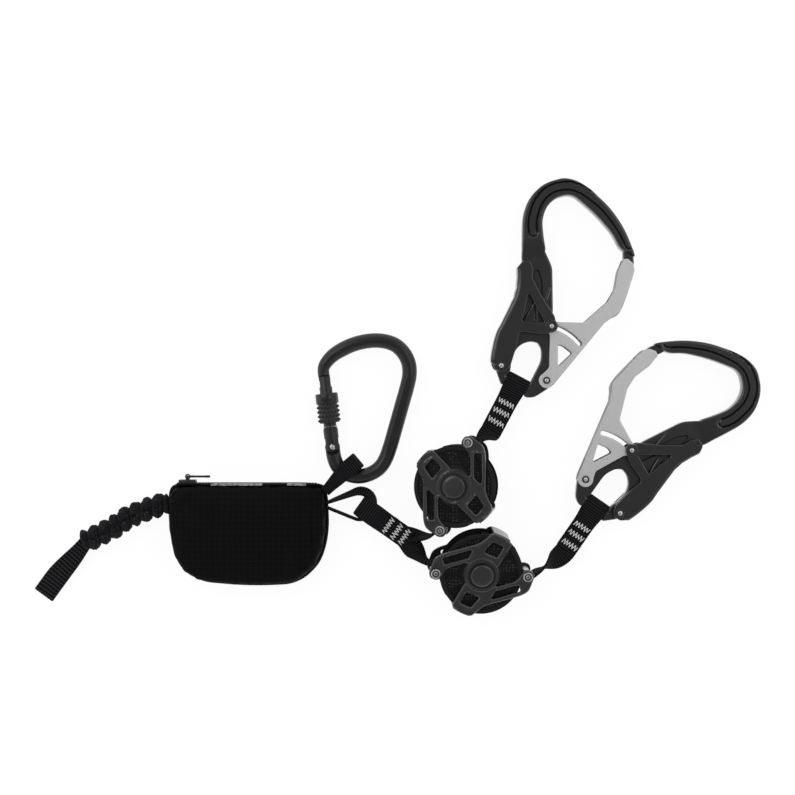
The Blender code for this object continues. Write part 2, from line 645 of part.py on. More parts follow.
def coil_points(turns_back):
    """The spiral of one webbing end on the spool, from its anchor in the core out to the rim."""
    pitch = (COIL_OUTER_RADIUS - COIL_INNER_RADIUS) / COIL_TURNS
    steps = round(COIL_TURNS * COIL_STEPS)
    points = []
    for step in range(steps + 1):
        angle = 2 * math.pi * COIL_TURNS * (step / steps)
        radius = COIL_INNER_RADIUS + pitch * angle / (2 * math.pi)
        points.append(Vector((math.cos(turns_back + angle), math.sin(turns_back + angle), 0)) * radius)
    return points


def least_gap(first, second, thickness):
    """The least clear distance between two windings, both given by the middles of their band."""
    nearest = min((a - b).length for a in first for b in second)
    return nearest - thickness


def webbing_reel(prefix, place, turn):
    lean = Vector((math.cos(REEL_LEAN), math.sin(REEL_LEAN), 0))
    tilt = Matrix.Rotation(turn, 4, "Z") @ Matrix.Rotation(REEL_TILT, 4, UP.cross(lean))
    hub = frame_empty(prefix + "_hub", place, REEL_CENTRE_HEIGHT, tilt)
    reel_frame(prefix + "_frame_front", 1, hub)
    reel_frame(prefix + "_frame_rear", -1, hub)
    bore = AXLE_RADIUS + SEAT_GAP
    profile = [
        (REEL_RADIUS, SPOOL_OUTER), (REEL_RADIUS, SPOOL_INNER), (SPOOL_CORE_RADIUS, SPOOL_INNER),
        (SPOOL_CORE_RADIUS, -SPOOL_INNER), (REEL_RADIUS, -SPOOL_INNER), (REEL_RADIUS, -SPOOL_OUTER),
        (bore, -SPOOL_OUTER), (bore, -SPOOL_INNER), (SPOOL_CHAMBER_RADIUS, -SPOOL_INNER),
        (SPOOL_CHAMBER_RADIUS, SPOOL_INNER), (bore, SPOOL_INNER), (bore, SPOOL_OUTER),
    ]
    turned(prefix + "_spool", profile, KNIT_BLACK, hub, steps=20)
    round_bar(prefix + "_axle", AXLE_RADIUS, -HUB_RING_TOP, HUB_RING_TOP, STEEL, hub, sides=12)
    for side, word in ((1, "front"), (-1, "rear")):
        base, top = HUB_RING_TOP + SEAT_GAP, HUB_CAP_TOP
        rise = top - base
        dome = [
            (0, top), (HUB_CAP_RADIUS * 0.5, top - rise * 0.08), (HUB_CAP_RADIUS * 0.85, top - rise * 0.35),
            (HUB_CAP_RADIUS, top - rise * 0.7), (HUB_CAP_RADIUS, base), (0, base),
        ]
        cap = turned(f"{prefix}_hub_cap_{word}", dome, PLASTIC_BLACK, hub, steps=16)
        cap.rotation_euler.x = 0 if side > 0 else math.pi
    for side, word in ((1, "top"), (-1, "bottom")):
        inner, outer = FRAME_INNER - SEAT_GAP, FRAME_OUTER + SEAT_GAP
        head = outer + POST_HEAD_RISE
        post = [
            (0, head), (POST_HEAD_RADIUS * 0.75, head), (POST_HEAD_RADIUS, outer), (POST_STEM_RADIUS, outer),
            (POST_STEM_RADIUS, inner), (POST_RADIUS, inner), (POST_RADIUS, -inner), (POST_STEM_RADIUS, -inner),
            (POST_STEM_RADIUS, -outer), (POST_HEAD_RADIUS, -outer), (POST_HEAD_RADIUS * 0.75, -head), (0, -head),
        ]
        made = turned(f"{prefix}_guide_post_{word}", post, STEEL, hub, steps=8)
        made.location.y = side * POST_OFFSET
    windings = []
    for start, word in ((0.0, "inlet"), (math.pi, "outlet")):
        points = coil_points(start)
        windings.append(points)
        stations = [(point, UP, STRAP_WIDTH) for point in points]
        webbing(f"{prefix}_coil_{word}", stations, hub)
    gap = least_gap(windings[0], windings[1], STRAP_THICKNESS)
    print(f"{prefix}: least gap between the windings {gap * 1000:.2f} mm")
    inner = AXLE_RADIUS + SEAT_GAP + POWER_SPRING_STRIP / 2
    outer = SPOOL_CHAMBER_RADIUS - SEAT_GAP * 2 - POWER_SPRING_STRIP
    stations = []
    for step in range(POWER_SPRING_TURNS * COIL_STEPS // 2 + 1):
        share = step / (POWER_SPRING_TURNS * COIL_STEPS // 2)
        angle = 2 * math.pi * POWER_SPRING_TURNS * share
        radius = inner + (outer - inner) * share
        stations.append((Vector((math.cos(angle), math.sin(angle), 0)) * radius, UP, POWER_SPRING_WIDTH))
    webbing(prefix + "_power_spring", stations, hub, STEEL, POWER_SPRING_STRIP)
    return hub


def reel_exit(hub, side, from_angle, to_angle, steps=8):
    """Stations, in the world, from the spool's rim, under a guide post and round it. Side turns it over."""
    matrix = hub.matrix_world @ Matrix.Rotation(0 if side > 0 else math.pi, 4, "Z")
    across = (hub.matrix_world.to_3x3() @ UP).normalized()
    made = []
    for step in range(6):
        angle = math.radians(125) + (math.pi / 2 - math.radians(125)) * step / 5
        made.append(Vector((math.cos(angle), math.sin(angle), 0)) * WRAP_RADIUS)
    for step in range(1, steps + 1):
        angle = from_angle + (to_angle - from_angle) * step / steps
        made.append(Vector((math.cos(angle), math.sin(angle), 0)) * GUIDE_RADIUS + Vector((0, POST_OFFSET, 0)))
    made.append(made[-1] + Vector((-math.sin(to_angle), math.cos(to_angle), 0)) * GUIDE_RADIUS)
    return [(matrix @ point, across, STRAP_WIDTH) for point in made]


# Palm-lock carabiner

def turn_about(point, centre, angle):
    return centre + Matrix.Rotation(angle, 2) @ (point - centre)


def lock_path(steps=6):
    """Where the lock pin runs, seen from the gate, as the lever is squeezed and the gate swings in."""
    pivot = Vector(LEVER_PIVOT_SHARE) * PALM_LENGTH
    pin = Vector(LOCK_PIN_SHARE) * PALM_LENGTH
    path = []
    for step in range(steps + 1):
        share = step / steps
        squeezed = turn_about(pin, pivot, -LEVER_SQUEEZE * share)
        path.append(turn_about(squeezed, Vector((0, 0)), -GATE_SWING * share))
    return path


def slot_outline(path, radius):
    """A slot of one width along a line of points, with round ends."""
    left, right = [], []
    for index, point in enumerate(path):
        along = (path[min(index + 1, len(path) - 1)] - path[max(index - 1, 0)]).normalized()
        side = Vector((-along.y, along.x)) * radius
        left.append(point + side)
        right.append(point - side)
    ends = []
    for point, corner in ((path[-1], left[-1]), (path[0], right[0])):
        for step in range(1, 4):
            ends.append(point + Matrix.Rotation(-math.pi * step / 4, 2) @ (corner - point))
    return left + ends[:3] + right[::-1] + ends[3:]


def palm_gate(prefix, parent):
    outline = rounded(sized(GATE_SHARES, PALM_LENGTH), GATE_CORNER, steps=1)
    slot = slot_outline(lock_path(), LOCK_PIN_RADIUS + SEAT_GAP)
    window = rounded(sized(GATE_WINDOW_SHARES, PALM_LENGTH), GATE_CORNER / 3, steps=1)
    pin_hole = circle((0, 0), PALM_PIN_RADIUS + SEAT_GAP, 12)
    holes = [slot, window, pin_hole]
    made = plate(prefix + "_gate", [outline] + holes, GATE_INNER, GATE_OUTER, SATIN_GREY, parent)
    rear = plate(prefix + "_gate_rear", [outline] + holes, -GATE_OUTER, -GATE_INNER, None, parent, cutter=True)
    join(made, rear)
    overlap = GATE_INNER + SEAT_GAP
    outer = strip(sized(GATE_OUTER_RIM_SHARES, PALM_LENGTH), -GATE_RIM)
    join(made, plate(prefix + "_gate_outer_rim", [outer], -overlap, overlap, None, parent, cutter=True))
    inner = strip(sized(GATE_INNER_RIM_SHARES, PALM_LENGTH), -GATE_RIM)
    join(made, plate(prefix + "_gate_inner_rim", [inner], -overlap, overlap, None, parent, cutter=True))
    return made


def palm_lever(prefix, parent):
    pivot = Vector(LEVER_PIVOT_SHARE) * PALM_LENGTH
    lock_pin = Vector(LOCK_PIN_SHARE) * PALM_LENGTH
    outline = rounded(sized(LEVER_SHARES, PALM_LENGTH), LEVER_CORNER, steps=1)
    window = rounded(sized(LEVER_WINDOW_SHARES, PALM_LENGTH), LEVER_CORNER / 2, steps=1)
    holes = [
        window, circle(pivot, PALM_PIN_RADIUS + SEAT_GAP, 12), circle(lock_pin, LOCK_PIN_RADIUS + SEAT_GAP, 10),
    ]
    name = prefix + "_lever"
    made = plate(name, [outline] + holes, LEVER_INNER, LEVER_OUTER, ANODISED_BLACK, parent, origin=pivot)
    rear = plate(name + "_rear", [outline] + holes, -LEVER_OUTER, -LEVER_INNER, None, parent, cutter=True)
    join(made, rear)
    wall = strip(sized(LEVER_WALL_SHARES, PALM_LENGTH), -LEVER_WALL)
    reach = LEVER_INNER + SEAT_GAP
    join(made, plate(name + "_wall", [wall], -reach, reach, None, parent, cutter=True))
    return made


def torsion_spring(name, centre, parent):
    """A short coil of wire round a pin, with a straight leg at each end."""
    radius = PALM_PIN_RADIUS + SEAT_GAP + SPRING_WIRE
    pitch = SPRING_WIRE + RUNNING_GAP * 1.5
    points = [Vector((radius, -radius, -pitch * SPRING_TURNS / 2))]
    for step in range(SPRING_TURNS * SPRING_STEPS + 1):
        angle = 2 * math.pi * step / SPRING_STEPS
        height = pitch * (step / SPRING_STEPS - SPRING_TURNS / 2)
        points.append(Vector((radius * math.cos(angle), radius * math.sin(angle), height)))
    points.append(Vector((radius, radius, pitch * SPRING_TURNS / 2)))
    made = tube(name, points, [SPRING_WIRE / 2] * len(points), STEEL, parent, sides_level=0)
    made.location = (centre[0], centre[1], 0)
    return made


def palm_body(prefix, parent):
    name = prefix + "_body"
    half = PALM_CORE / 2
    depth = PALM_BASKET_DEPTH / 2
    basket = rounded(sized(PALM_BASKET_SHARES, PALM_LENGTH), PALM_CORNER * 2, steps=1, flowing=True)
    made = plate(name, [basket], -depth, depth, ANODISED_BLACK, parent, edge=PALM_EDGE)
    for word, shares in (("lower", PALM_LOWER_SHARES), ("nose", PALM_NOSE_SHARES)):
        core = rounded(sized(shares, PALM_LENGTH), PALM_CORNER, steps=1)
        join(made, plate(f"{name}_{word}", [core], -half, half, None, parent, cutter=True))
    low, high = (Vector(share) * PALM_LENGTH for share in PALM_RAMP_SHARES)
    slope = math.atan2(depth - half, high.y - low.y)
    for side, word in ((1, "front"), (-1, "rear")):
        bottom, top = sorted((0, side * depth))
        ramp = block(
            f"{name}_ramp_{word}", (low.x - high.x, (low.y - high.y) * 2, bottom), (0, 0, top), None, parent,
            cutter=True,
        )
        ramp.location = (high.x, high.y, side * depth)
        ramp.rotation_euler.x = side * slope
        cut(made, ramp)
    middle = Vector(PALM_BAR_SHARE) * PALM_LENGTH
    along = Vector(PALM_BAR_DIRECTION)
    reach = PALM_BAR_BAY + PALM_BAR_ROOT
    bar = round_bar(name + "_bar", PALM_BAR_RADIUS, -reach, reach, None, parent, at=middle, cutter=True)
    bar.rotation_euler = (math.pi / 2, 0, math.atan2(along.y, along.x) + math.pi / 2)
    join(made, bar)
    groove = slot_outline(sized(PALM_GROOVE_SHARES, PALM_LENGTH), PALM_GROOVE_WIDTH / 2)
    for side, word in ((1, "front"), (-1, "rear")):
        low, high = sorted((side * (depth - PALM_GROOVE_DEPTH), side * (depth + CUT_OVERRUN)))
        cut(made, plate(f"{name}_groove_{word}", [groove], low, high, None, parent, cutter=True))
    pivot = Vector(LEVER_PIVOT_SHARE) * PALM_LENGTH
    reach = half + CUT_OVERRUN
    for word, centre in (("gate", Vector((0, 0))), ("lever", pivot)):
        hole = round_bar(
            f"{name}_{word}_hole", PALM_PIN_RADIUS + SEAT_GAP, -reach, reach, None, parent, at=centre, sides=12,
            cutter=True,
        )
        cut(made, hole)
        pocket = (SPRING_WIRE + RUNNING_GAP * 1.5) * SPRING_TURNS / 2 + SPRING_WIRE
        tool = round_bar(
            f"{name}_{word}_pocket", SPRING_POCKET, -pocket, pocket, None, parent, at=centre, sides=12, cutter=True
        )
        cut(made, tool)
    pin = Vector(LOCK_PIN_SHARE) * PALM_LENGTH
    squeezed = turn_about(pin, pivot, -LEVER_SQUEEZE)
    clear = squeezed + (squeezed - pin).normalized() * PALM_BAR_BAY
    notch = slot_outline([pin, squeezed, clear], LOCK_PIN_RADIUS + SEAT_GAP * 2)
    cut(made, plate(name + "_notch", [notch], -reach, reach, None, parent, cutter=True))
    return made


def palm_pin(name, radius, centre, parent, finish=STEEL):
    """A riveted pin: its shank fills the stack, and its heads stand on the outer plates."""
    seat = LEVER_OUTER + SEAT_GAP
    top = seat + PALM_PIN_HEAD
    head = PALM_PIN_HEAD_RADIUS
    profile = [
        (0, top), (head * 0.85, top), (head, seat), (radius, seat),
        (radius, -seat), (head, -seat), (head * 0.85, -top), (0, -top),
    ]
    made = turned(name, profile, finish, parent, steps=10)
    made.location = (centre[0], centre[1], 0)
    return made


def gate_pin(name, parent):
    """The gate's own pin ends on the gate plates, inside the lever's reach."""
    seat = GATE_OUTER + SEAT_GAP
    top = seat + PALM_PIN_HEAD
    head = PALM_PIN_HEAD_RADIUS
    profile = [
        (0, top), (head * 0.85, top), (head, seat), (PALM_PIN_RADIUS, seat),
        (PALM_PIN_RADIUS, -seat), (head, -seat), (head * 0.85, -top), (0, -top),
    ]
    return turned(name, profile, STEEL, parent, steps=10)


def palm_carabiner(prefix, place, turn, turned_over):
    matrix = Matrix.Rotation(turn, 4, "Z")
    if turned_over:
        matrix = matrix @ Matrix.Rotation(math.pi, 4, "Y")
    frame = frame_empty(prefix + "_frame", place, PALM_HALF_DEPTH + SEAT_GAP, matrix)
    palm_body(prefix, frame)
    palm_gate(prefix, frame)
    palm_lever(prefix, frame)
    palm_pin(prefix + "_lever_pin", PALM_PIN_RADIUS, Vector(LEVER_PIVOT_SHARE) * PALM_LENGTH, frame)
    palm_pin(prefix + "_lock_pin", LOCK_PIN_RADIUS, Vector(LOCK_PIN_SHARE) * PALM_LENGTH, frame)
    gate_pin(prefix + "_gate_pin", frame)
    torsion_spring(prefix + "_gate_spring", Vector((0, 0)), frame)
    torsion_spring(prefix + "_lever_spring", Vector(LEVER_PIVOT_SHARE) * PALM_LENGTH, frame)
    return frame


def palm_strap(name, frame, hub, side, exit_angle, pull):
    """One strap: sewn end, round the carabiner's bar, through the stitching, twisting on edge into the reel."""
    turn = frame.matrix_world.to_3x3()
    middle = frame.matrix_world @ (Vector(PALM_BAR_SHARE) * PALM_LENGTH).to_3d()
    across = (turn @ Vector(PALM_BAR_DIRECTION).to_3d()).normalized()
    inward = UP.cross(across)
    if inward.dot(turn @ Vector((0, 1, 0))) < 0:
        inward = -inward

    def flat(distance, height):
        return (middle - inward * distance + UP * height, across, STRAP_WIDTH)

    halfway = (PLY_OFFSET + PALM_LOOP_RADIUS) / 1.8
    stations = [flat(SEWN_LENGTH, -PLY_OFFSET), flat(SEWN_START, -PLY_OFFSET)]
    stations.append(flat(SEWN_START * 0.45, -halfway))
    stations += fold_round(middle, inward, across, PALM_LOOP_RADIUS, STRAP_WIDTH)
    stations.append(flat(SEWN_START * 0.45, halfway))
    stations += [flat(SEWN_START, PLY_OFFSET), flat(SEWN_LENGTH, PLY_OFFSET)]
    wrap = reel_exit(hub, side, -math.pi / 2, exit_angle)[::-1]
    last = stations[-1]
    lead_in = (wrap[1][0] - wrap[0][0]).normalized()
    if last[1].dot(wrap[0][1]) < -0.5:
        wrap = [(point, -way, width) for point, way, width in wrap]
    stations += span(last, -inward * pull[0], wrap[0], lead_in * pull[1])
    return webbing(name, stations + wrap)


# Anchor carabiner

def anchor_line():
    return [point.to_3d() for point in sized(ANCHOR_CENTRE_LINE_SHARES, ANCHOR_LENGTH)]


def anchor_carabiner():
    frame = frame_empty("anchor_frame", ANCHOR_PLACE, SLEEVE_RADIUS + SEAT_GAP)
    line = smooth_line(anchor_line(), 2)
    slim = 5
    radii = [
        ANCHOR_NOSE_RADIUS + (ANCHOR_BAR_RADIUS - ANCHOR_NOSE_RADIUS) * max(0, min(1, (k - 2) / slim))
        for k in range(len(line))
    ]
    body = tube("anchor_body", line, radii, ANODISED_BLACK, frame, sides_level=2)
    thin = ANCHOR_TONGUE / 2
    gate_turn = Matrix.Rotation(ANCHOR_GATE_LEAN, 4, "Z")
    hinge_reach = ANCHOR_BARREL_RADIUS + SEAT_GAP * 2
    tip = ANCHOR_GATE_LENGTH + RUNNING_GAP
    deep = SLEEVE_RADIUS
    for side, word in ((1, "front"), (-1, "rear")):
        low, high = sorted((side * thin, side * deep))
        hinge = round_bar(f"anchor_hinge_cheek_{word}", hinge_reach, low, high, None, frame, sides=16, cutter=True)
        cut(body, hinge)
        nose = block(
            f"anchor_nose_cheek_{word}", (-deep, ANCHOR_GATE_LENGTH - deep * 1.5, low), (deep, tip, high),
            None, frame, cutter=True,
        )
        nose.rotation_euler.z = ANCHOR_GATE_LEAN
        cut(body, nose)
    join(body, round_bar("anchor_hinge_eye", ANCHOR_BARREL_RADIUS, -thin, thin, None, frame, cutter=True))
    hole = round_bar(
        "anchor_hinge_hole", ANCHOR_PIN_RADIUS + SEAT_GAP, -deep, deep, None, frame, sides=12, cutter=True
    )
    cut(body, hole)
    gate_frame = bpy.data.objects.new("anchor_gate_frame", None)
    LANYARD.objects.link(gate_frame)
    gate_frame.parent = frame
    gate_frame.matrix_local = gate_turn @ Matrix.Rotation(-math.pi / 2, 4, "X")
    barrel, shaft = ANCHOR_BARREL_RADIUS, ANCHOR_GATE_RADIUS
    top = ANCHOR_GATE_LENGTH
    chamfer = (barrel - shaft) * 0.7
    profile = [
        (0, top), (shaft - chamfer / 2, top), (shaft, top - chamfer / 2), (shaft, ANCHOR_BARREL_LENGTH + chamfer),
        (barrel, ANCHOR_BARREL_LENGTH), (barrel, -ANCHOR_BARREL_TAIL * 0.35),
        (barrel * 0.8, -ANCHOR_BARREL_TAIL * 0.8), (barrel * 0.35, -ANCHOR_BARREL_TAIL), (0, -ANCHOR_BARREL_TAIL),
    ]
    gate = turned("anchor_gate", profile, ANODISED_BLACK, gate_frame, steps=16)
    slot = thin + SEAT_GAP
    fork = hinge_reach + SEAT_GAP
    cut(gate, block("anchor_gate_fork", (-barrel * 2, -slot, -fork), (barrel * 2, slot, fork), None, gate_frame,
                    cutter=True))
    cut(gate, block("anchor_gate_notch", (-barrel * 2, -slot, top - ANCHOR_GATE_SLOT_DEPTH),
                    (barrel * 2, slot, top + CUT_OVERRUN), None, gate_frame, cutter=True))
    pin_hole = round_bar(
        "anchor_gate_pin_hole", ANCHOR_PIN_RADIUS + SEAT_GAP, -deep, deep, None, gate_frame, sides=12, cutter=True
    )
    pin_hole.rotation_euler.x = math.pi / 2
    cut(gate, pin_hole)
    round_bar("anchor_gate_pin", ANCHOR_PIN_RADIUS, -barrel, barrel, STEEL, frame, sides=12)
    sleeve(gate_frame)
    return frame


def sleeve(gate_frame):
    """The screw sleeve: a smooth collar above and a ribbed grip below, on one bore."""
    collar = SLEEVE_START + SLEEVE_LENGTH * (1 - SLEEVE_COLLAR_SHARE)
    top = SLEEVE_START + SLEEVE_LENGTH
    neck = SLEEVE_RADIUS - SLEEVE_RIB_DEPTH * 2
    edge = SLEEVE_RIB_DEPTH
    profile = [
        (SLEEVE_RADIUS - edge, top), (SLEEVE_RADIUS, top - edge), (SLEEVE_RADIUS, collar + edge),
        (neck, collar), (neck, collar - edge), (SLEEVE_BORE_RADIUS, collar - edge), (SLEEVE_BORE_RADIUS, top),
    ]
    made = turned("anchor_sleeve", profile, ANODISED_BLACK, gate_frame, steps=20)
    rim = []
    for rib in range(SLEEVE_RIBS):
        for offset, depth in ((0.0, 0.0), (0.5, 0.0), (0.75, SLEEVE_RIB_DEPTH)):
            angle = 2 * math.pi * (rib + offset) / SLEEVE_RIBS
            rim.append(Vector((math.cos(angle), math.sin(angle))) * (SLEEVE_RADIUS - depth))
    bore = circle((0, 0), SLEEVE_BORE_RADIUS, 20)
    grip = plate("anchor_sleeve_grip", [rim, bore], SLEEVE_START, collar - edge / 2, None, gate_frame, cutter=True)
    join(made, grip)
    return made


# Pouch, absorber and zip

def pouch():
    frame = frame_empty("pouch_frame", POUCH_PLACE, 0)
    outline = rounded(sized(POUCH_OUTLINE_SHARES, POUCH_LENGTH), POUCH_CORNER)
    base = POUCH_BACK_THICKNESS + SEAT_GAP
    plate("pouch_back", [outline], 0, POUCH_BACK_THICKNESS, FABRIC_BLACK, frame)
    shape = bmesh.new()
    rings = []
    for height, size in POUCH_RING_SHARES:
        level = base + (POUCH_HEIGHT - base) * height
        rings.append([shape.verts.new((point.x * size, point.y * size, level)) for point in outline])
    for ring, following in zip(rings, rings[1:]):
        for k in range(len(ring)):
            after = (k + 1) % len(ring)
            shape.faces.new((ring[k], ring[after], following[after], following[k]))
    shape.faces.new(rings[-1])
    bmesh.ops.recalc_face_normals(shape, faces=shape.faces)
    mesh = bpy.data.meshes.new("pouch_front")
    shape.to_mesh(mesh)
    shape.free()
    front = link("pouch_front", mesh, FABRIC_BLACK, frame)
    shell = front.modifiers.new("fabric", "SOLIDIFY")
    shell.thickness = POUCH_FABRIC
    shell.offset = -1
    route = [point.to_3d() + UP * base for point in outset(outline, BINDING_RADIUS + SEAT_GAP)]
    tube("pouch_binding", route, [BINDING_RADIUS] * len(route), BINDING_BLACK, frame, sides_level=1, closed=True)
    low = POUCH_BACK_THICKNESS + SEAT_GAP
    shift = PACK_SHIFT_SHARE * POUCH_LENGTH
    block(
        "absorber_pack", (-PACK_LENGTH / 2 + shift, -PACK_WIDTH / 2, low),
        (PACK_LENGTH / 2 + shift, PACK_WIDTH / 2, low + PACK_HEIGHT), PACK_GREY, frame, corner=PACK_CORNER,
    )
    zip_parts(frame)
    return frame


def zip_parts(frame):
    """The zip stands on the pouch's top wall: a tape with its teeth, a slider on them, and a pull tab."""
    wall = max(y for _, y in POUCH_OUTLINE_SHARES) * POUCH_LENGTH + SEAT_GAP
    level = POUCH_HEIGHT * ZIP_HEIGHT_SHARE
    half = ZIP_LENGTH / 2
    tape_face = wall + ZIP_TAPE_THICKNESS
    tape = block(
        "zip_tape", (-half, wall, level - ZIP_TAPE_WIDTH / 2), (half, tape_face, level + ZIP_TAPE_WIDTH / 2),
        FABRIC_BLACK, frame,
    )
    teeth = block(
        "zip_teeth", (-half, wall + ZIP_TAPE_THICKNESS / 2, level - ZIP_TEETH_WIDTH / 2),
        (half, tape_face + ZIP_TEETH_DEPTH, level + ZIP_TEETH_WIDTH / 2), None, frame, cutter=True,
    )
    join(tape, teeth)
    seat = tape_face + SEAT_GAP
    outer = tape_face + ZIP_TEETH_DEPTH + SEAT_GAP + SLIDER_FACE
    start = -half + SLIDER_LENGTH / 2 + CUT_OVERRUN
    slider_frame = bpy.data.objects.new("zip_slider_frame", None)
    LANYARD.objects.link(slider_frame)
    slider_frame.parent = frame
    slider_frame.location = (start, outer, level)
    slider = block(
        "zip_slider", (-SLIDER_LENGTH / 2, seat - outer, -SLIDER_WIDTH / 2), (SLIDER_LENGTH / 2, 0, SLIDER_WIDTH / 2),
        STEEL, slider_frame,
    )
    tunnel = ZIP_TEETH_WIDTH / 2 + SEAT_GAP
    cut(slider, block(
        "zip_slider_tunnel", (-SLIDER_LENGTH, seat - outer - CUT_OVERRUN, -tunnel),
        (SLIDER_LENGTH, -SLIDER_FACE, tunnel), None, slider_frame, cutter=True,
    ))
    lug = PULLER_WIDTH / 2 + SEAT_GAP
    top = SLIDER_POST_RISE + SLIDER_POST_RADIUS
    wide = SLIDER_POST_RADIUS * 1.5
    for side, word in ((1, "upper"), (-1, "lower")):
        low, high = sorted((side * lug, side * (lug + SLIDER_LUG)))
        join(slider, block(
            f"zip_slider_lug_{word}", (-wide, -SLIDER_FACE / 2, low), (wide, top, high), None, slider_frame,
            cutter=True,
        ))
    post = round_bar(
        "zip_slider_post", SLIDER_POST_RADIUS, -lug - SLIDER_LUG / 2, lug + SLIDER_LUG / 2, None, slider_frame,
        at=(0, SLIDER_POST_RISE), sides=12, cutter=True,
    )
    join(slider, post)
    eye = SLIDER_POST_RADIUS + SEAT_GAP
    ring = eye + PULLER_THICKNESS / 2
    tab = [Vector((x, y)) for x, y in (
        (-ring, -ring), (PULLER_LENGTH, -PULLER_THICKNESS / 2), (PULLER_LENGTH, PULLER_THICKNESS / 2), (-ring, ring),
    )]
    puller = plate(
        "zip_puller", [rounded(tab, ring * 0.9), circle((0, 0), eye, 12)], -PULLER_WIDTH / 2, PULLER_WIDTH / 2,
        STEEL, slider_frame,
    )
    puller.location = (0, SLIDER_POST_RISE, 0)


# Leash

def leash():
    sleeve_height = LEASH_RADIUS + SEAT_GAP
    start = LEASH_PLACE
    centre = [(start.x + p.x, start.y + p.y, sleeve_height) for p in sized(LEASH_ROUTE_SHARES, LEASH_REACH)]
    line = smooth_line(centre, 10)
    lengths = [0.0]
    for first, second in zip(line, line[1:]):
        lengths.append(lengths[-1] + (second - first).length)
    points, radii = [], []
    count = LEASH_LUMPS * 4
    for step in range(count + 1):
        target = lengths[-1] * step / count
        index = max(k for k in range(len(line)) if lengths[k] <= target + MERGE_DISTANCE)
        after = min(index + 1, len(line) - 1)
        stretch = lengths[after] - lengths[index]
        share = (target - lengths[index]) / stretch if stretch > 0 else 0
        points.append(line[index].lerp(line[after], share))
        swell = (1 - math.cos(2 * math.pi * step / 4)) / 2
        radii.append(LEASH_NECK_RADIUS + (LEASH_RADIUS - LEASH_NECK_RADIUS) * swell)
    tube("leash_sleeve", points, radii, WEBBING_BLACK, None, sides_level=1)
    tail = [
        (start.x + p.x, start.y + p.y, STRAP_THICKNESS * 1.6 + SEAT_GAP + sleeve_height * (1 - k / 3) / 2)
        for k, p in enumerate(sized(TAIL_ROUTE_SHARES, LEASH_REACH))
    ]
    route = smooth_line(tail, 5)
    stations = []
    for index, point in enumerate(route):
        ahead = route[min(index + 1, len(route) - 1)] - route[max(index - 1, 0)]
        stations.append((point, UP.cross(ahead).normalized(), TAIL_WIDTH))
    webbing("leash_tail", stations, thickness=STRAP_THICKNESS * 2)


# Straps between the pouch, the anchor carabiner and the reels

def harness_loop(anchor_frame):
    """From the pouch's corner, round the anchor carabiner's bar, and back."""
    line = anchor_line()
    loop_at = anchor_frame.matrix_world @ line[ANCHOR_LOOP_INDEX]
    before, after = line[ANCHOR_LOOP_INDEX - 1], line[ANCHOR_LOOP_INDEX + 1]
    across = (after - before).normalized()
    outward = UP.cross(across)
    corner = Vector((HARNESS_EXIT.x, HARNESS_EXIT.y, POUCH_HEIGHT * 0.42))
    if outward.dot(corner - loop_at) < 0:
        outward = -outward
    away = (corner - loop_at).normalized()
    width = ANCHOR_LOOP_WIDTH
    bend = fold_round(loop_at, -outward, across, ANCHOR_LOOP_RADIUS, width)
    clear = corner - away * (STRAP_WIDTH * 0.3)
    lower = (clear - UP * PLY_OFFSET, across, width * 0.8)
    upper = (clear + UP * PLY_OFFSET, across, width * 0.8)
    pull = away * (corner - loop_at).length
    stations = [lower] + span(lower, -pull * 0.6, bend[0], -outward * pull.length * 0.8, 8)
    stations += bend + span(bend[-1], outward * pull.length * 0.8, upper, pull * 0.6, 8) + [upper]
    webbing("harness_loop", stations)


def absorber_loop(fold):
    """The absorber's own loop: out of the pouch on edge, round, and back beside itself."""
    corner = Vector((ABSORBER_EXIT.x, ABSORBER_EXIT.y, ABSORBER_LOOP_LEVEL))
    centre = Vector((fold.x, fold.y, ABSORBER_LOOP_LEVEL))
    along = (centre - corner).normalized()
    side = UP.cross(along)
    radius, tall = ABSORBER_LOOP_RADIUS, ABSORBER_LOOP_HEIGHT
    mouth = STRAP_THICKNESS / 2 + SEAT_GAP * 2
    stations = [(corner + side * mouth, UP, tall)]
    for step in range(13):
        turn = math.radians(115) - math.radians(230) * step / 12
        stations.append((
            centre + along * (radius * math.cos(turn)) + side * (radius * math.sin(turn)), UP, tall
        ))
    stations.append((corner - side * mouth, UP, tall))
    webbing("absorber_loop", stations)
    return centre


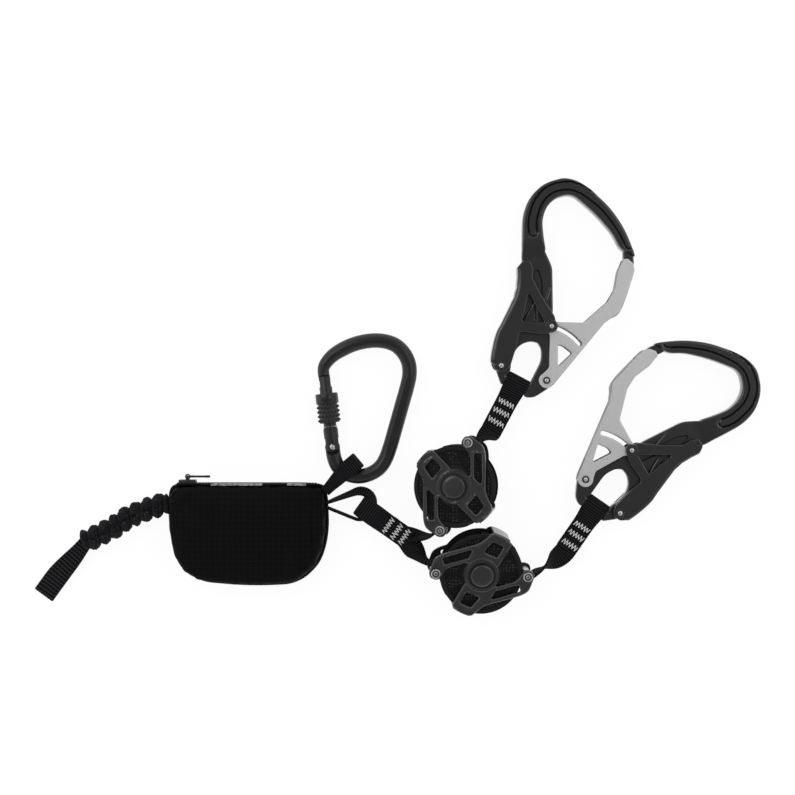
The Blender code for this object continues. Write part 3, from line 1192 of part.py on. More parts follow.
def lanyard_yoke(centre, hub_a, hub_b):
    """The sewn yoke: round the absorber's loop, doubled through its stitching, then on into reel B.
    The lead into reel A is sewn on top of it."""
    split = Vector((YOKE_SPLIT_PLACE.x, YOKE_SPLIT_PLACE.y, centre.z))
    away = (split - centre).normalized()
    across = UP.cross(away)
    opening = ABSORBER_LOOP_HEIGHT / 2 + STRAP_THICKNESS / 2 + SEAT_GAP * 2
    middle = centre + away * (ABSORBER_LOOP_RADIUS * 0.6)
    past = ABSORBER_LOOP_RADIUS * 0.5 + STRAP_THICKNESS

    def flat(distance, height):
        return (middle + away * distance + UP * height, across, STRAP_WIDTH)

    length = (split - middle).length
    taper, sewn = past + opening * 0.9, past + opening * 1.8
    lower = [flat(length, -PLY_OFFSET), flat(sewn, -PLY_OFFSET), flat(taper, -opening * 0.6), flat(past, -opening)]
    upper = [flat(past, opening), flat(taper, opening * 0.6), flat(sewn, PLY_OFFSET), flat(length, PLY_OFFSET)]
    stations = lower + fold_round(middle, -away, across, opening, STRAP_WIDTH) + upper
    wrap = reel_exit(hub_b, 1, -math.pi / 2, math.radians(-8))[::-1]
    wrap = [(point, -way, width) for point, way, width in wrap]
    lead_in = (wrap[1][0] - wrap[0][0]).normalized()
    gap = (wrap[0][0] - stations[-1][0]).length
    pull = Matrix.Rotation(YOKE_SPREAD[0], 3, "Z") @ away * gap
    stations += span(stations[-1], pull, wrap[0], lead_in * gap) + wrap
    webbing("lanyard_yoke", stations)
    wrap = reel_exit(hub_a, -1, -math.pi / 2, math.radians(-8))[::-1]
    wrap = [(point, -way, width) for point, way, width in wrap]
    lead_in = (wrap[1][0] - wrap[0][0]).normalized()
    level = PLY_OFFSET * 3
    start, end = flat(length * LEAD_SHARES[0], level), flat(length * LEAD_SHARES[1], level)
    gap = (wrap[0][0] - end[0]).length
    pull = Matrix.Rotation(YOKE_SPREAD[1], 3, "Z") @ away * gap + UP * gap * 0.6
    stations = [start, end] + span(end, pull, wrap[0], lead_in * gap) + wrap
    webbing("reel_a_lead", stations)


# Assembly

reel_a = webbing_reel("reel_a", REEL_A_PLACE, REEL_A_TURN)
reel_b = webbing_reel("reel_b", REEL_B_PLACE, REEL_B_TURN)
palm_a = palm_carabiner("palm_a", PALM_A_PLACE, 0.0, False)
palm_b = palm_carabiner("palm_b", PALM_B_PLACE, PALM_B_TURN, True)
anchor = anchor_carabiner()
pouch()
leash()
palm_strap("palm_a_strap", palm_a, reel_a, 1, PALM_A_STRAP_EXIT, PALM_A_STRAP_PULLS)
palm_strap("palm_b_strap", palm_b, reel_b, -1, PALM_B_STRAP_EXIT, PALM_B_STRAP_PULLS)
harness_loop(anchor)
absorber = absorber_loop(YOKE_FOLD_PLACE)
lanyard_yoke(absorber, reel_a, reel_b)
bpy.context.view_layer.update()
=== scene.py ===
import math

import bpy
import numpy as np
from mathutils import Matrix, Vector, geometry


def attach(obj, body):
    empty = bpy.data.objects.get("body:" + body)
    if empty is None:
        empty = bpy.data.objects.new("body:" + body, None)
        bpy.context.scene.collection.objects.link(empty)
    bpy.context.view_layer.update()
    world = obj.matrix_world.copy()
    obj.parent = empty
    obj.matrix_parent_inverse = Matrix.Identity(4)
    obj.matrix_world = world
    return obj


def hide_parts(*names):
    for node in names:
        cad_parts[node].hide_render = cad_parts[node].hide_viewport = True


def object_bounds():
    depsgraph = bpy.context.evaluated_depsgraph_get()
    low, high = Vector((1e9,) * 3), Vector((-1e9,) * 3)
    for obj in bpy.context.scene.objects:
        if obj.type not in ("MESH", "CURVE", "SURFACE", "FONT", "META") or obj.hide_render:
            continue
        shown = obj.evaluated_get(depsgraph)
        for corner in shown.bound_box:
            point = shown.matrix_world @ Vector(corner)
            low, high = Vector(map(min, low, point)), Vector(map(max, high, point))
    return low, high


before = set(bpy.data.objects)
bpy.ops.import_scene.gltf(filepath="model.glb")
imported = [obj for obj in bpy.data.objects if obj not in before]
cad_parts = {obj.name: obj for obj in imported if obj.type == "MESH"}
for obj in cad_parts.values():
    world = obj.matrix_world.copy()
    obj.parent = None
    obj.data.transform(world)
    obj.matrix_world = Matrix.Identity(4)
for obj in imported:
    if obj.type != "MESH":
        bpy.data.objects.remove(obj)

CAD_BOX = [[float(value) for value in corner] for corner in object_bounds()]
UP = Vector((0, 0, 1))


# Studio: the lanyard lies on a white table under soft light, and the camera looks straight down on it.
# The table and the light tent round it are plain white, and the tent is dimmer overhead, where the camera is.

CAMERA_PLACE = (0.1098, 0.1007, 1.150)
CAMERA_ANGLE = math.radians(28.7)
TENT_HORIZON = 1.15
TENT_OVERHEAD = 0.28
TENT_FADE = (0.15, 0.95)
SOFTBOXES = (("softbox_left", (-0.75, 0.75, 1.45), 5.5), ("softbox_right", (1.05, 0.55, 1.45), 3.5))
SOFTBOX_SIZE = 0.9
TABLE_SIZE = 3.0
TABLE_GAP = 0.0002
TABLE_WHITENESS = 0.88
TABLE_GLOW = 1.06


def linear(code):
    """A colour written as an sRGB hex code, as the shaders want it."""
    parts = [int(code[k:k + 2], 16) / 255 for k in (1, 3, 5)]
    return (*[p / 12.92 if p <= 0.04045 else ((p + 0.055) / 1.055) ** 2.4 for p in parts], 1.0)


def wire(tree, node, links):
    """Feeds a node's sockets from others."""
    for socket, source in links.items():
        tree.links.new(source, node.inputs[socket])


def add(tree, kind, values=None, links=None, stops=(), **settings):
    """One node with its settings, the values on its sockets, what feeds them, and the colours of its ramp."""
    made = tree.nodes.new(kind)
    for name, value in settings.items():
        setattr(made, name, value)
    for socket, value in (values or {}).items():
        made.inputs[socket].default_value = value
    for index, (share, code) in enumerate(stops):
        made.color_ramp.elements[index].position = share
        made.color_ramp.elements[index].color = linear(code)
    wire(tree, made, links or {})
    return made


def finish(name, roughness, **sockets):
    """A material with one shader, and what is the same all over set on the shader's own sockets."""
    made = bpy.data.materials.new(name)
    made.use_nodes = True
    shader = made.node_tree.nodes["Principled BSDF"]
    shader.inputs["Roughness"].default_value = roughness
    for socket, value in sockets.items():
        shader.inputs[socket.replace("_", " ")].default_value = value
    return made, made.node_tree, shader


def placed(name, data, place=None):
    """A new object in the scene."""
    made = bpy.data.objects.new(name, data)
    scene.collection.objects.link(made)
    if place is not None:
        made.location = place
    return made


scene = bpy.context.scene
scene.view_settings.view_transform = "Standard"

photo_camera = placed("photo_camera", bpy.data.cameras.new("photo camera"), CAMERA_PLACE)
photo_camera.data.angle = CAMERA_ANGLE
photo_camera.data.clip_start = 0.01
scene.camera = photo_camera

tent = bpy.data.worlds.new("light tent")
scene.world = tent
tent.use_nodes = True
tree = tent.node_tree
way = add(tree, "ShaderNodeTexCoord")
parts = add(tree, "ShaderNodeSeparateXYZ", links={0: way.outputs["Generated"]})
level = add(tree, "ShaderNodeMapRange", {1: TENT_FADE[0], 2: TENT_FADE[1], 3: TENT_HORIZON, 4: TENT_OVERHEAD},
            {0: parts.outputs["Z"]}, interpolation_type="SMOOTHSTEP")
wire(tree, tree.nodes["Background"], {"Strength": level.outputs[0]})
tree.nodes["Background"].inputs["Color"].default_value = linear("#ffffff")

for name, place, power in SOFTBOXES:
    lamp = placed(name, bpy.data.lights.new(name, "AREA"), place)
    lamp.data.size = SOFTBOX_SIZE
    lamp.data.energy = power
    target = Vector((*CAMERA_PLACE[:2], 0))
    lamp.rotation_euler = (Vector(place) - target).to_track_quat("Z", "Y").to_euler()

table_mesh = bpy.data.meshes.new("table_top")
reach = TABLE_SIZE / 2
corners = [(-reach, -reach, 0), (reach, -reach, 0), (reach, reach, 0), (-reach, reach, 0)]
table_mesh.from_pydata(corners, [], [(0, 1, 2, 3)])
table = placed("table_top", table_mesh, (*CAMERA_PLACE[:2], CAD_BOX[0][2] - TABLE_GAP))

# White acrylic sheet: seen straight on or in a reflection it reads as white, and it keeps a faint soft shadow.
white_acrylic, tree, shader = finish("white acrylic sheet", 0.6)
shader.inputs["Base Color"].default_value = linear("#f2f2f2")
ray = add(tree, "ShaderNodeLightPath")
seen = add(tree, "ShaderNodeMath", operation="MAXIMUM",
           links={0: ray.outputs["Is Camera Ray"], 1: ray.outputs["Is Glossy Ray"]})
seen = add(tree, "ShaderNodeMath", operation="MAXIMUM",
           links={0: seen.outputs[0], 1: ray.outputs["Is Transmission Ray"]})
share = add(tree, "ShaderNodeMath", {1: TABLE_WHITENESS}, {0: seen.outputs[0]}, operation="MULTIPLY")
glow = add(tree, "ShaderNodeEmission", {"Color": linear("#ffffff"), "Strength": TABLE_GLOW})
mixed = add(tree, "ShaderNodeMixShader", links={0: share.outputs[0], 1: shader.outputs[0], 2: glow.outputs[0]})
wire(tree, tree.nodes["Material Output"], {"Surface": mixed.outputs[0]})
table_mesh.materials.append(white_acrylic)


# Palm-lock carabiners: a hot-forged aluminium hook, black anodised after tumbling, with long grooves pressed
# into both faces, and a spine that is narrower where the squeezed lever and the gate sit on it.

SEAT_GAP = 0.0003
PALM_LENGTH = 0.162
PALM_CORE = 0.0080
PALM_BASKET_DEPTH = 0.0122
PALM_CORNER = 0.0028
PALM_HEIGHT = 0.0095
PALM_LOWER_SHARES = (
    (-0.028, 0.599), (-0.108, 0.612), (-0.111, 0.552), (-0.104, 0.513), (-0.068, 0.510), (-0.068, 0.481),
    (-0.072, 0.407), (-0.117, 0.321), (-0.183, 0.216), (-0.218, 0.123), (-0.230, 0.074),
    (-0.226, 0.043), (-0.205, -0.016), (-0.194, -0.019), (-0.160, 0.047), (-0.159, 0.083),
    (-0.139, 0.137), (-0.112, 0.164), (-0.072, 0.177), (-0.039, 0.170), (-0.022, 0.143),
    (-0.022, 0.090), (-0.046, 0.043), (-0.069, -0.002), (-0.107, -0.075), (-0.059, -0.080),
    (-0.006, -0.047), (0.028, -0.021), (0.032, 0.012), (0.011, 0.057), (0.015, 0.204),
    (0.031, 0.290), (0.028, 0.510), (0.010, 0.552), (-0.010, 0.593),
)
PALM_NOSE_SHARES = (
    (0.349, 0.611), (0.373, 0.611), (0.396, 0.557), (0.396, 0.519), (0.383, 0.491),
    (0.365, 0.491), (0.353, 0.519), (0.347, 0.562),
)
PALM_BASKET_SHARES = (
    (0.402, 0.554), (0.395, 0.584), (0.355, 0.684), (0.288, 0.784), (0.201, 0.864),
    (0.141, 0.902), (0.081, 0.917), (-0.012, 0.891), (-0.079, 0.824), (-0.107, 0.744),
    (-0.109, 0.637), (-0.109, 0.549), (-0.021, 0.549), (-0.001, 0.584), (-0.012, 0.644),
    (-0.019, 0.724), (0.001, 0.784), (0.041, 0.824), (0.094, 0.838), (0.128, 0.831),
    (0.222, 0.751), (0.302, 0.657), (0.333, 0.589),
)
PALM_GROOVE_SHARES = (
    (0.374, 0.612), (0.336, 0.686), (0.266, 0.779), (0.184, 0.846), (0.130, 0.873),
    (0.078, 0.878), (0.012, 0.858), (-0.036, 0.806), (-0.060, 0.736), (-0.063, 0.695), (-0.059, 0.668),
)
PALM_GROOVE_WIDTH = 0.0060
PALM_GROOVE_DEPTH = 0.0005
PALM_LINE_DEPTH = 0.0013
PALM_BAR_SHARE = (-0.135, -0.016)
PALM_BAR_DIRECTION = (0.884, -0.468)
PALM_BAR_RADIUS = 0.0042
PALM_BAR_REACH = 0.0106
EDGE_STEP_SHARES = (0.08, 0.29, 0.62, 1.0)


def sized(shares, size):
    """Points given as shares of a piece's length, in metres."""
    return [Vector((x * size, y * size)) for x, y in shares]


def eased(corners, radius, steps=6, flowing=True):
    """A closed outline with an arc in each corner. In a flowing one, shallow corners run into one curve."""
    points = []
    for index, corner in enumerate(corners):
        before = corners[index - 1] - corner
        after = corners[(index + 1) % len(corners)] - corner
        half = before.angle(after) / 2
        room = min(before.length, after.length) * 0.48
        reach = room if flowing and half > math.radians(68) else min(radius / math.tan(half), room)
        start, end = corner + before.normalized() * reach, corner + after.normalized() * reach
        for step in range(steps + 1):
            t = step / steps
            points.append(start * (1 - t) ** 2 + corner * (2 * t * (1 - t)) + end * t * t)
    return points


def curved(before, start, end, after, share):
    """A point between start and end, on a smooth curve that runs through all four."""
    return (2 * start + (end - before) * share + (2 * before - 5 * start + 4 * end - after) * share * share
            + (3 * start - before - 3 * end + after) * share ** 3) / 2


def smooth_line(points, steps):
    """Points along a smooth curve through the given ones, so many to each stretch."""
    points = [Vector(point) for point in points]
    padded = [points[0], *points, points[-1]]
    made = [curved(*padded[index:index + 4], step / steps)
            for index in range(len(points) - 1) for step in range(steps)]
    return made + [points[-1]]


def heading(line, index):
    """Which way an open line runs at one of its points."""
    return line[min(index + 1, len(line) - 1)] - line[max(index - 1, 0)]


def travelled(line):
    """How far along an open line each of its points lies."""
    lengths = [0.0]
    for start, end in zip(line, line[1:]):
        lengths.append(lengths[-1] + (end - start).length)
    return lengths


def evenly(line, pitch, closed):
    """The same line with a point at least every pitch, as an array."""
    made = []
    count = len(line) if closed else len(line) - 1
    for index in range(count):
        start, end = line[index], line[(index + 1) % len(line)]
        parts = max(1, math.ceil((end - start).length / pitch))
        made += [start.lerp(end, part / parts) for part in range(parts)]
    if not closed:
        made.append(line[-1])
    return np.array([point[:2] for point in made])


def beside(line, distance, closed):
    """An array of points moved sideways off their line."""
    if closed:
        along = np.roll(line, -1, 0) - np.roll(line, 1, 0)
    else:
        along = np.gradient(line, axis=0)
    along /= np.maximum(np.linalg.norm(along, axis=1, keepdims=True), 1e-9)
    return line + np.stack([-along[:, 1], along[:, 0]], 1) * distance


def away_from(points, starts, ends):
    """How far each point is from the nearest of some straight stretches."""
    nearest = np.full(len(points), 1e9)
    for start, end in zip(starts, ends):
        run = end - start
        share = np.clip(((points - start) @ run) / max(run @ run, 1e-14), 0, 1)
        off = points - start - share[:, None] * run
        nearest = np.minimum(nearest, np.hypot(off[:, 0], off[:, 1]))
    return nearest


def from_line(points, line):
    """How far each point is from an open line."""
    return away_from(points, line[:-1], line[1:])


def within(points, loop):
    """Which points lie inside a closed outline."""
    odd = np.zeros(len(points), bool)
    for start, end in zip(loop, np.roll(loop, -1, 0)):
        crosses = (start[1] > points[:, 1]) != (end[1] > points[:, 1])
        rise = end[1] - start[1]
        if abs(rise) > 1e-12:
            odd ^= crosses & (points[:, 0] < (end[0] - start[0]) * (points[:, 1] - start[1]) / rise + start[0])
    return odd


def eases(values, low, high):
    """From 0 at the low value to 1 at the high one, level at both ends."""
    share = np.clip((values - low) / (high - low), 0, 1)
    return share * share * (3 - 2 * share)


def rolled_edge(edge, radius):
    """How far a surface drops towards its edge, where the edge is rolled over by a radius."""
    left = radius - np.clip(edge, 0, radius)
    return radius - np.sqrt(np.maximum(radius * radius - left * left, 0))


def marked(mesh, wear_shading):
    """Keeps on each point a mask for its material to read: where its edges take wear, painted highlight and
    painted shade, and where a spool's loops lie.
    """
    mesh.attributes.new("wear_and_shading", "FLOAT", "POINT").data.foreach_set("value", wear_shading)


def smoothed(mesh, angle):
    """Shaded smooth, with sharp edges where faces meet at more than an angle in degrees."""
    mesh.shade_smooth()
    mesh.set_sharp_from_angle(angle=math.radians(angle))
    return mesh


def relief(name, outlines, holes, top, bottom, edge, pitch, creases=()):
    """A forged or moulded plate. Its outline is filled with a fine net, and two functions of the place and
    of the distance to the edge give the heights of its two faces."""
    loops = [evenly(loop, pitch, True) for loop in list(outlines) + list(holes)]
    solid, cut_out = loops[:len(outlines)], loops[len(outlines):]
    starts = np.concatenate(loops)
    ends = np.concatenate([np.roll(loop, -1, 0) for loop in loops])

    def covered(points):
        """Which points lie on the plate and not in a hole."""
        inside = np.zeros(len(points), bool)
        for loop in solid:
            inside |= within(points, loop)
        for loop in cut_out:
            inside &= ~within(points, loop)
        return inside

    parts = list(loops)
    for share in EDGE_STEP_SHARES:
        for loop in loops:
            for side in (1, -1):
                ring = beside(loop, side * edge * share, True)
                near = away_from(ring, starts, ends)
                parts.append(ring[covered(ring) & (near > edge * share * 0.93)])
    for line in creases:
        ring = line[covered(line)]
        parts.append(ring[away_from(ring, starts, ends) > edge * 0.5])
    low, high = starts.min(0), starts.max(0)
    grid = []
    for k, row in enumerate(np.arange(low[1], high[1], pitch * 0.9)):
        columns = np.arange(low[0] + pitch * 0.5 * (k % 2), high[0], pitch)
        grid.append(np.stack([columns, np.full(len(columns), row)], 1))
    grid = np.concatenate(grid)
    grid = grid[covered(grid)]
    grid = grid[away_from(grid, starts, ends) > edge + pitch * 0.3]
    if len(creases):
        taken = np.concatenate(creases)
        near = np.array([np.hypot(*(taken - point).T).min() for point in grid])
        grid = grid[near > pitch * 0.45]
    parts.append(grid)
    links, first = [], 0
    for loop in loops:
        count = len(loop)
        links += [(first + k, first + (k + 1) % count) for k in range(count)]
        first += count
    points = np.concatenate(parts)
    net = geometry.delaunay_2d_cdt([Vector(point) for point in points], links, [], 0, 1e-7)
    flat = np.array([point[:] for point in net[0]])
    faces = np.array([list(face) for face in net[2]])
    faces = faces[covered(flat[faces].mean(1))]
    used, faces = np.unique(faces, return_inverse=True)
    flat, faces = flat[used], faces.reshape(-1, 3)
    sides = {(a, b) for face in faces.tolist() for a, b in zip(face, face[1:] + face[:1])}
    border = [(a, b) for a, b in sides if (b, a) not in sides]
    off = away_from(flat, flat[[a for a, _ in border]], flat[[b for _, b in border]])
    count = len(flat)
    rows = [np.column_stack([flat, height(flat, off)]) for height in (top, bottom)]
    shapes = faces.tolist() + [[a + count for a in face[::-1]] for face in faces.tolist()]
    shapes += [[a, a + count, b + count, b] for a, b in border]
    mesh = bpy.data.meshes.new(name)
    mesh.from_pydata(np.concatenate(rows).tolist(), [], shapes)
    marked(mesh, np.tile(1 - np.clip(off / edge, 0, 1), 2).astype(np.float32))
    return smoothed(mesh, 50)


def piece(name, mesh, material, body, slot, *stands_for, place=None):
    """A finished piece: where it lies, the body that it moves with, and the nodes that it stands for."""
    made = placed(name, mesh)
    if material:
        mesh.materials.append(material)
    if place is not None:
        mesh.transform(place)
    bpy.context.view_layer.update()
    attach(made, body)
    if stands_for:
        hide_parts(*stands_for)
    return made


def joined(name, meshes):
    """Several shells as one mesh."""
    points, shapes, smooth, wear_shading = [], [], [], []
    for mesh in meshes:
        first = len(points)
        points += [tuple(vertex.co) for vertex in mesh.vertices]
        shapes += [[first + k for k in face.vertices] for face in mesh.polygons]
        smooth += [face.use_smooth for face in mesh.polygons]
        rim = mesh.attributes.get("wear_and_shading")
        wear_shading += [value.value for value in rim.data] if rim else [0.0] * len(mesh.vertices)
    made = bpy.data.meshes.new(name)
    made.from_pydata(points, [], shapes)
    marked(made, wear_shading)
    made.polygons.foreach_set("use_smooth", smooth)
    made.set_sharp_from_angle(angle=math.radians(50))
    return made


def flipped(mesh):
    """The same shape on the other face of the piece."""
    made = mesh.copy()
    made.transform(Matrix.Diagonal((1, 1, -1, 1)))
    made.flip_normals()
    return made


def laid(x, y, height, turn, tilt=None):
    """A place on the table, turned about the upright, and then tilted or turned over by a second turn."""
    place = Matrix.Translation((x, y, height)) @ Matrix.Rotation(turn, 4, "Z")
    return place @ tilt if tilt is not None else place


PALMS = {
    "palm_a": laid(0.218646, 0.113184, PALM_HEIGHT, 0),
    "palm_b": laid(0.247157, 0.040878, PALM_HEIGHT, math.radians(-62.6), Matrix.Rotation(math.pi, 4, "Y")),
}


def grained(name, roughness, size, detail, dark, light, spread=(0.0, 1.0), cloud=None, shine=None, bump=None,
            edge=None, **sockets):
    """A finish led by one fine grain of a real size: its two tones, unless a wider cloud gives those, and
    where given its range of roughness, its relief, and the tone mixed in at its edges, which is wear on some
    finishes and painted highlight or painted shade on others."""
    made, tree, shader = finish(name, roughness, **sockets)
    where = add(tree, "ShaderNodeTexCoord").outputs["Object"]
    if isinstance(size, tuple):
        drawn = add(tree, "ShaderNodeMapping", {"Scale": tuple(1 / each for each in size)}, {"Vector": where})
        grain = add(tree, "ShaderNodeTexNoise", {"Scale": 1.0, "Detail": detail}, {"Vector": drawn.outputs[0]})
    else:
        grain = add(tree, "ShaderNodeTexNoise", {"Scale": 1 / size, "Detail": detail}, {"Vector": where})
    tones = grain
    if cloud:
        tones = add(tree, "ShaderNodeTexNoise", {"Scale": 1 / cloud[0], "Detail": cloud[1]}, {"Vector": where})
    tone = add(tree, "ShaderNodeValToRGB", links={"Fac": tones.outputs["Fac"]},
               stops=zip(spread, (dark, light)))
    if edge:
        start, most, wear_shading = edge
        rim = add(tree, "ShaderNodeAttribute", attribute_name="wear_and_shading")
        thin = add(tree, "ShaderNodeMapRange", {1: start, 2: 1.0, 3: 0.0, 4: most}, {0: rim.outputs["Fac"]})
        tone = add(tree, "ShaderNodeMixRGB", {"Color2": linear(wear_shading)},
                   {"Fac": thin.outputs[0], "Color1": tone.outputs["Color"]})
    wire(tree, shader, {"Base Color": tone.outputs["Color"]})
    if shine:
        rough = add(tree, "ShaderNodeMapRange", {3: shine[0], 4: shine[1]}, {0: grain.outputs["Fac"]})
        wire(tree, shader, {"Roughness": rough.outputs[0]})
    if bump:
        raised = add(tree, "ShaderNodeBump", {"Strength": bump[0], "Distance": bump[1]},
                     {"Height": grain.outputs["Fac"]})
        wire(tree, shader, {"Normal": raised.outputs[0]})
    return made


# Anodised aluminium: tumbled, so it is smooth with a fine satin grain. Its edges are painted lighter, partly as
# wear where the black layer thins and partly as painted highlight where the rounded edges catch the light.
anodised_aluminium = grained(
    "anodised aluminium", 0.42, size=0.0008, detail=2, dark="#0f0f10", light="#161617", cloud=(1 / 60, 4),
    shine=(0.34, 0.50), bump=(0.10, 0.0001), edge=(0.5, 0.35, "#3c3c3f"), Metallic=0.25, Coat_Weight=0.80,
    Coat_Roughness=0.10)


LEVER_INNER = 0.0066
LEVER_OUTER = 0.0086
GATE_INNER = 0.0043
GATE_OUTER = 0.0063
FINE_PITCH = 0.0007
BASKET = eased(sized(PALM_BASKET_SHARES, PALM_LENGTH), PALM_CORNER * 2)
BASKET_LOOP = evenly(BASKET, FINE_PITCH, True)
BASKET_GROOVE = evenly(smooth_line(sized(PALM_GROOVE_SHARES, PALM_LENGTH), 6), FINE_PITCH, False)
BASKET_LEFT_SHARE = 0.15
BASKET_RAMP_SHARES = (0.545, 0.640)
BASKET_ROLL = 0.0016
SPINE_ROLL = 0.0010
NOSE_STEP_SHARES = ((0.402, 0.554), (0.333, 0.589))
NOSE_STEP = evenly(sized(NOSE_STEP_SHARES, PALM_LENGTH), FINE_PITCH, False)
NOSE_STEP_REACH = 0.0012
PALM_LINE_REACH = 0.0008
# Lines pressed into the spine, beside its pocket and in the lever's window
SPINE_LINE_SHARES = (
    ((0.0196, 0.4217), (-0.006, 0.356), (-0.030, 0.322)),
    ((-0.112, 0.2645), (-0.0535, 0.356)),
    ((-0.046, 0.345), (-0.045, 0.261)),
)
SPINE_LINES = [evenly(smooth_line(sized(line, PALM_LENGTH), 4), 0.0006, False) for line in SPINE_LINE_SHARES]
SPINE_LINE_DEPTH = 0.0006
SPINE_LINE_REACH = 0.0006
POCKET_SHARES = (
    (-0.050, 0.500), (-0.034, 0.500), (-0.016, 0.444), (-0.018, 0.400), (-0.013, 0.349), (0.006, 0.300),
    (-0.030, 0.262), (-0.118, 0.262), (-0.095, 0.360), (-0.064, 0.430),
)
POCKET = evenly(eased(sized(POCKET_SHARES, PALM_LENGTH), 0.003), FINE_PITCH, True)
POCKET_DEPTH = 0.0012
POCKET_SLOPE = 0.0006


def palm_face(points, edge):
    """The upper face: thick in the basket and thin along the spine, with pressed lines and a pocket."""
    half, depth = PALM_CORE / 2, PALM_BASKET_DEPTH / 2
    left = points[:, 0] < BASKET_LEFT_SHARE * PALM_LENGTH
    ramp = eases(points[:, 1], *(share * PALM_LENGTH for share in BASKET_RAMP_SHARES))
    step = eases(from_line(points, NOSE_STEP), 0, NOSE_STEP_REACH)
    full = np.where(left, ramp, np.where(within(points, BASKET_LOOP), step, 0))
    thick = full > 0.3
    level = half + (depth - half) * full
    level -= rolled_edge(edge, SPINE_ROLL) * (1 - full) + rolled_edge(edge, BASKET_ROLL) * full
    away = from_line(points, BASKET_GROOVE)
    level -= PALM_GROOVE_DEPTH * eases(PALM_GROOVE_WIDTH / 2 - away, -0.0003, 0.0003) * thick
    off_rim = abs(away - PALM_GROOVE_WIDTH / 2)
    level -= PALM_LINE_DEPTH * eases(PALM_LINE_REACH - off_rim, 0, PALM_LINE_REACH) * thick
    sunk = eases(away_from(points, POCKET, np.roll(POCKET, -1, 0)), 0, POCKET_SLOPE)
    level -= np.where(within(points, POCKET), POCKET_DEPTH * sunk, 0)
    for line in SPINE_LINES:
        level -= SPINE_LINE_DEPTH * eases(0.0007 - from_line(points, line), 0, 0.0005)
    return level


def palm_back(points, edge):
    """The lower face, the same as the upper one."""
    return -palm_face(points, edge)


half = PALM_GROOVE_WIDTH / 2
creases = [beside(BASKET_GROOVE, side * (half + off * PALM_LINE_REACH), False)
           for side in (1, -1) for off in (-1, 0, 1)]
creases += [POCKET, beside(POCKET, POCKET_SLOPE, True), beside(POCKET, -POCKET_SLOPE, True), NOSE_STEP]
creases += [beside(line, off * SPINE_LINE_REACH, False) for line in SPINE_LINES for off in (-1, 0, 1)]
lower = eased(sized(PALM_LOWER_SHARES, PALM_LENGTH), PALM_CORNER)
nose = eased(sized(PALM_NOSE_SHARES, PALM_LENGTH), PALM_CORNER)
palm_forging = relief("palm_forging", [BASKET, lower, nose], [], palm_face, palm_back,
                      edge=0.0020, pitch=0.0008, creases=creases)


def turns_of(count):
    """The angles of so many even steps round a circle."""
    return [2 * math.pi * k / count for k in range(count)]


def lathe(name, profile, steps=48):
    """A turned piece from its profile of radius and height, from the middle of one end to the other."""
    points, rings = [], []
    for radius, height in profile:
        if radius < 1e-7:
            rings.append([len(points)] * steps)
            points.append((0, 0, height))
        else:
            rings.append(list(range(len(points), len(points) + steps)))
            points += [(radius * math.cos(turn), radius * math.sin(turn), height) for turn in turns_of(steps)]
    shapes = []
    for ring, following in zip(rings, rings[1:]):
        for k in range(steps):
            after = (k + 1) % steps
            shapes.append(list(dict.fromkeys((ring[k], ring[after], following[after], following[k]))))
    mesh = bpy.data.meshes.new(name)
    mesh.from_pydata(points, [], shapes)
    return smoothed(mesh, 40)


def skinned(name, rings, looped=False, angle=None):
    """A skin over rings of the same number of points, joined end to end or else closed at both ends."""
    count, last = len(rings[0]), len(rings) - 1
    shapes = []
    for index in range(last + looped):
        here, after = index * count, (index + 1) % len(rings) * count
        for k in range(count):
            following = (k + 1) % count
            shapes.append((here + k, here + following, after + following, after + k))
    if not looped:
        shapes += [tuple(range(count))[::-1], tuple(last * count + k for k in range(count))]
    mesh = bpy.data.meshes.new(name)
    mesh.from_pydata([tuple(point) for ring in rings for point in ring], [], shapes)
    mesh.shade_smooth()
    if angle:
        mesh.set_sharp_from_angle(angle=math.radians(angle))
    return mesh


def bar_mesh(name, centres, radii, sides=24, flat=None):
    """A round bar along points. Where flat is given, it is the share of its height that is left there."""
    rings = []
    side = None
    for index, centre in enumerate(centres):
        along = heading(centres, index).normalized()
        if side is None:
            side = UP.cross(along) if abs(along.z) < 0.9 else Vector((1, 0, 0))
        side = (side - along * side.dot(along)).normalized()
        rise = along.cross(side)
        most = flat[index] if flat else 1.0
        ways = [side * math.cos(turn) + rise * max(-most, min(most, math.sin(turn)))
                for turn in turns_of(sides)]
        rings.append([centre + way * radii[index] for way in ways])
    return skinned(name, rings, angle=50)


along = Vector((*PALM_BAR_DIRECTION, 0)).normalized()
middle = (Vector(PALM_BAR_SHARE) * PALM_LENGTH).to_3d()
strap_bar = bar_mesh("strap_bar", [middle + along * (PALM_BAR_REACH * step / 6) for step in range(-6, 7)],
                     [PALM_BAR_RADIUS * (1 + 0.10 * (step / 6) ** 6) for step in range(-6, 7)], sides=28)
palm_body_mesh = joined("palm_body", [palm_forging, strap_bar])


# The palm levers: two pressed plates with a triangular window, joined by the rounded wall that the hand
# squeezes. They are anodised like the body, and turn on a rivet at the lower corner.

LEVER_SHARES = (
    (-0.110, 0.537), (-0.073, 0.541), (-0.060, 0.500), (-0.064, 0.462), (-0.027, 0.388), (0.008, 0.333),
    (0.035, 0.290), (0.046, 0.246), (0.028, 0.219), (0.004, 0.211), (-0.027, 0.209),
    (-0.109, 0.220), (-0.123, 0.214), (-0.135, 0.156), (-0.162, 0.070), (-0.181, 0.044),
    (-0.207, 0.035), (-0.235, 0.051), (-0.252, 0.091), (-0.242, 0.156), (-0.225, 0.217),
    (-0.203, 0.259), (-0.172, 0.322), (-0.146, 0.375), (-0.134, 0.420), (-0.131, 0.469),
    (-0.132, 0.507),
)
LEVER_WINDOW_SHARES = ((-0.081, 0.398), (-0.110, 0.263), (-0.009, 0.259))
LEVER_WALL_SHARES = (
    (-0.244, 0.076), (-0.252, 0.091), (-0.242, 0.156), (-0.225, 0.217), (-0.203, 0.259),
    (-0.172, 0.322), (-0.146, 0.375), (-0.134, 0.420), (-0.131, 0.469), (-0.132, 0.505),
)
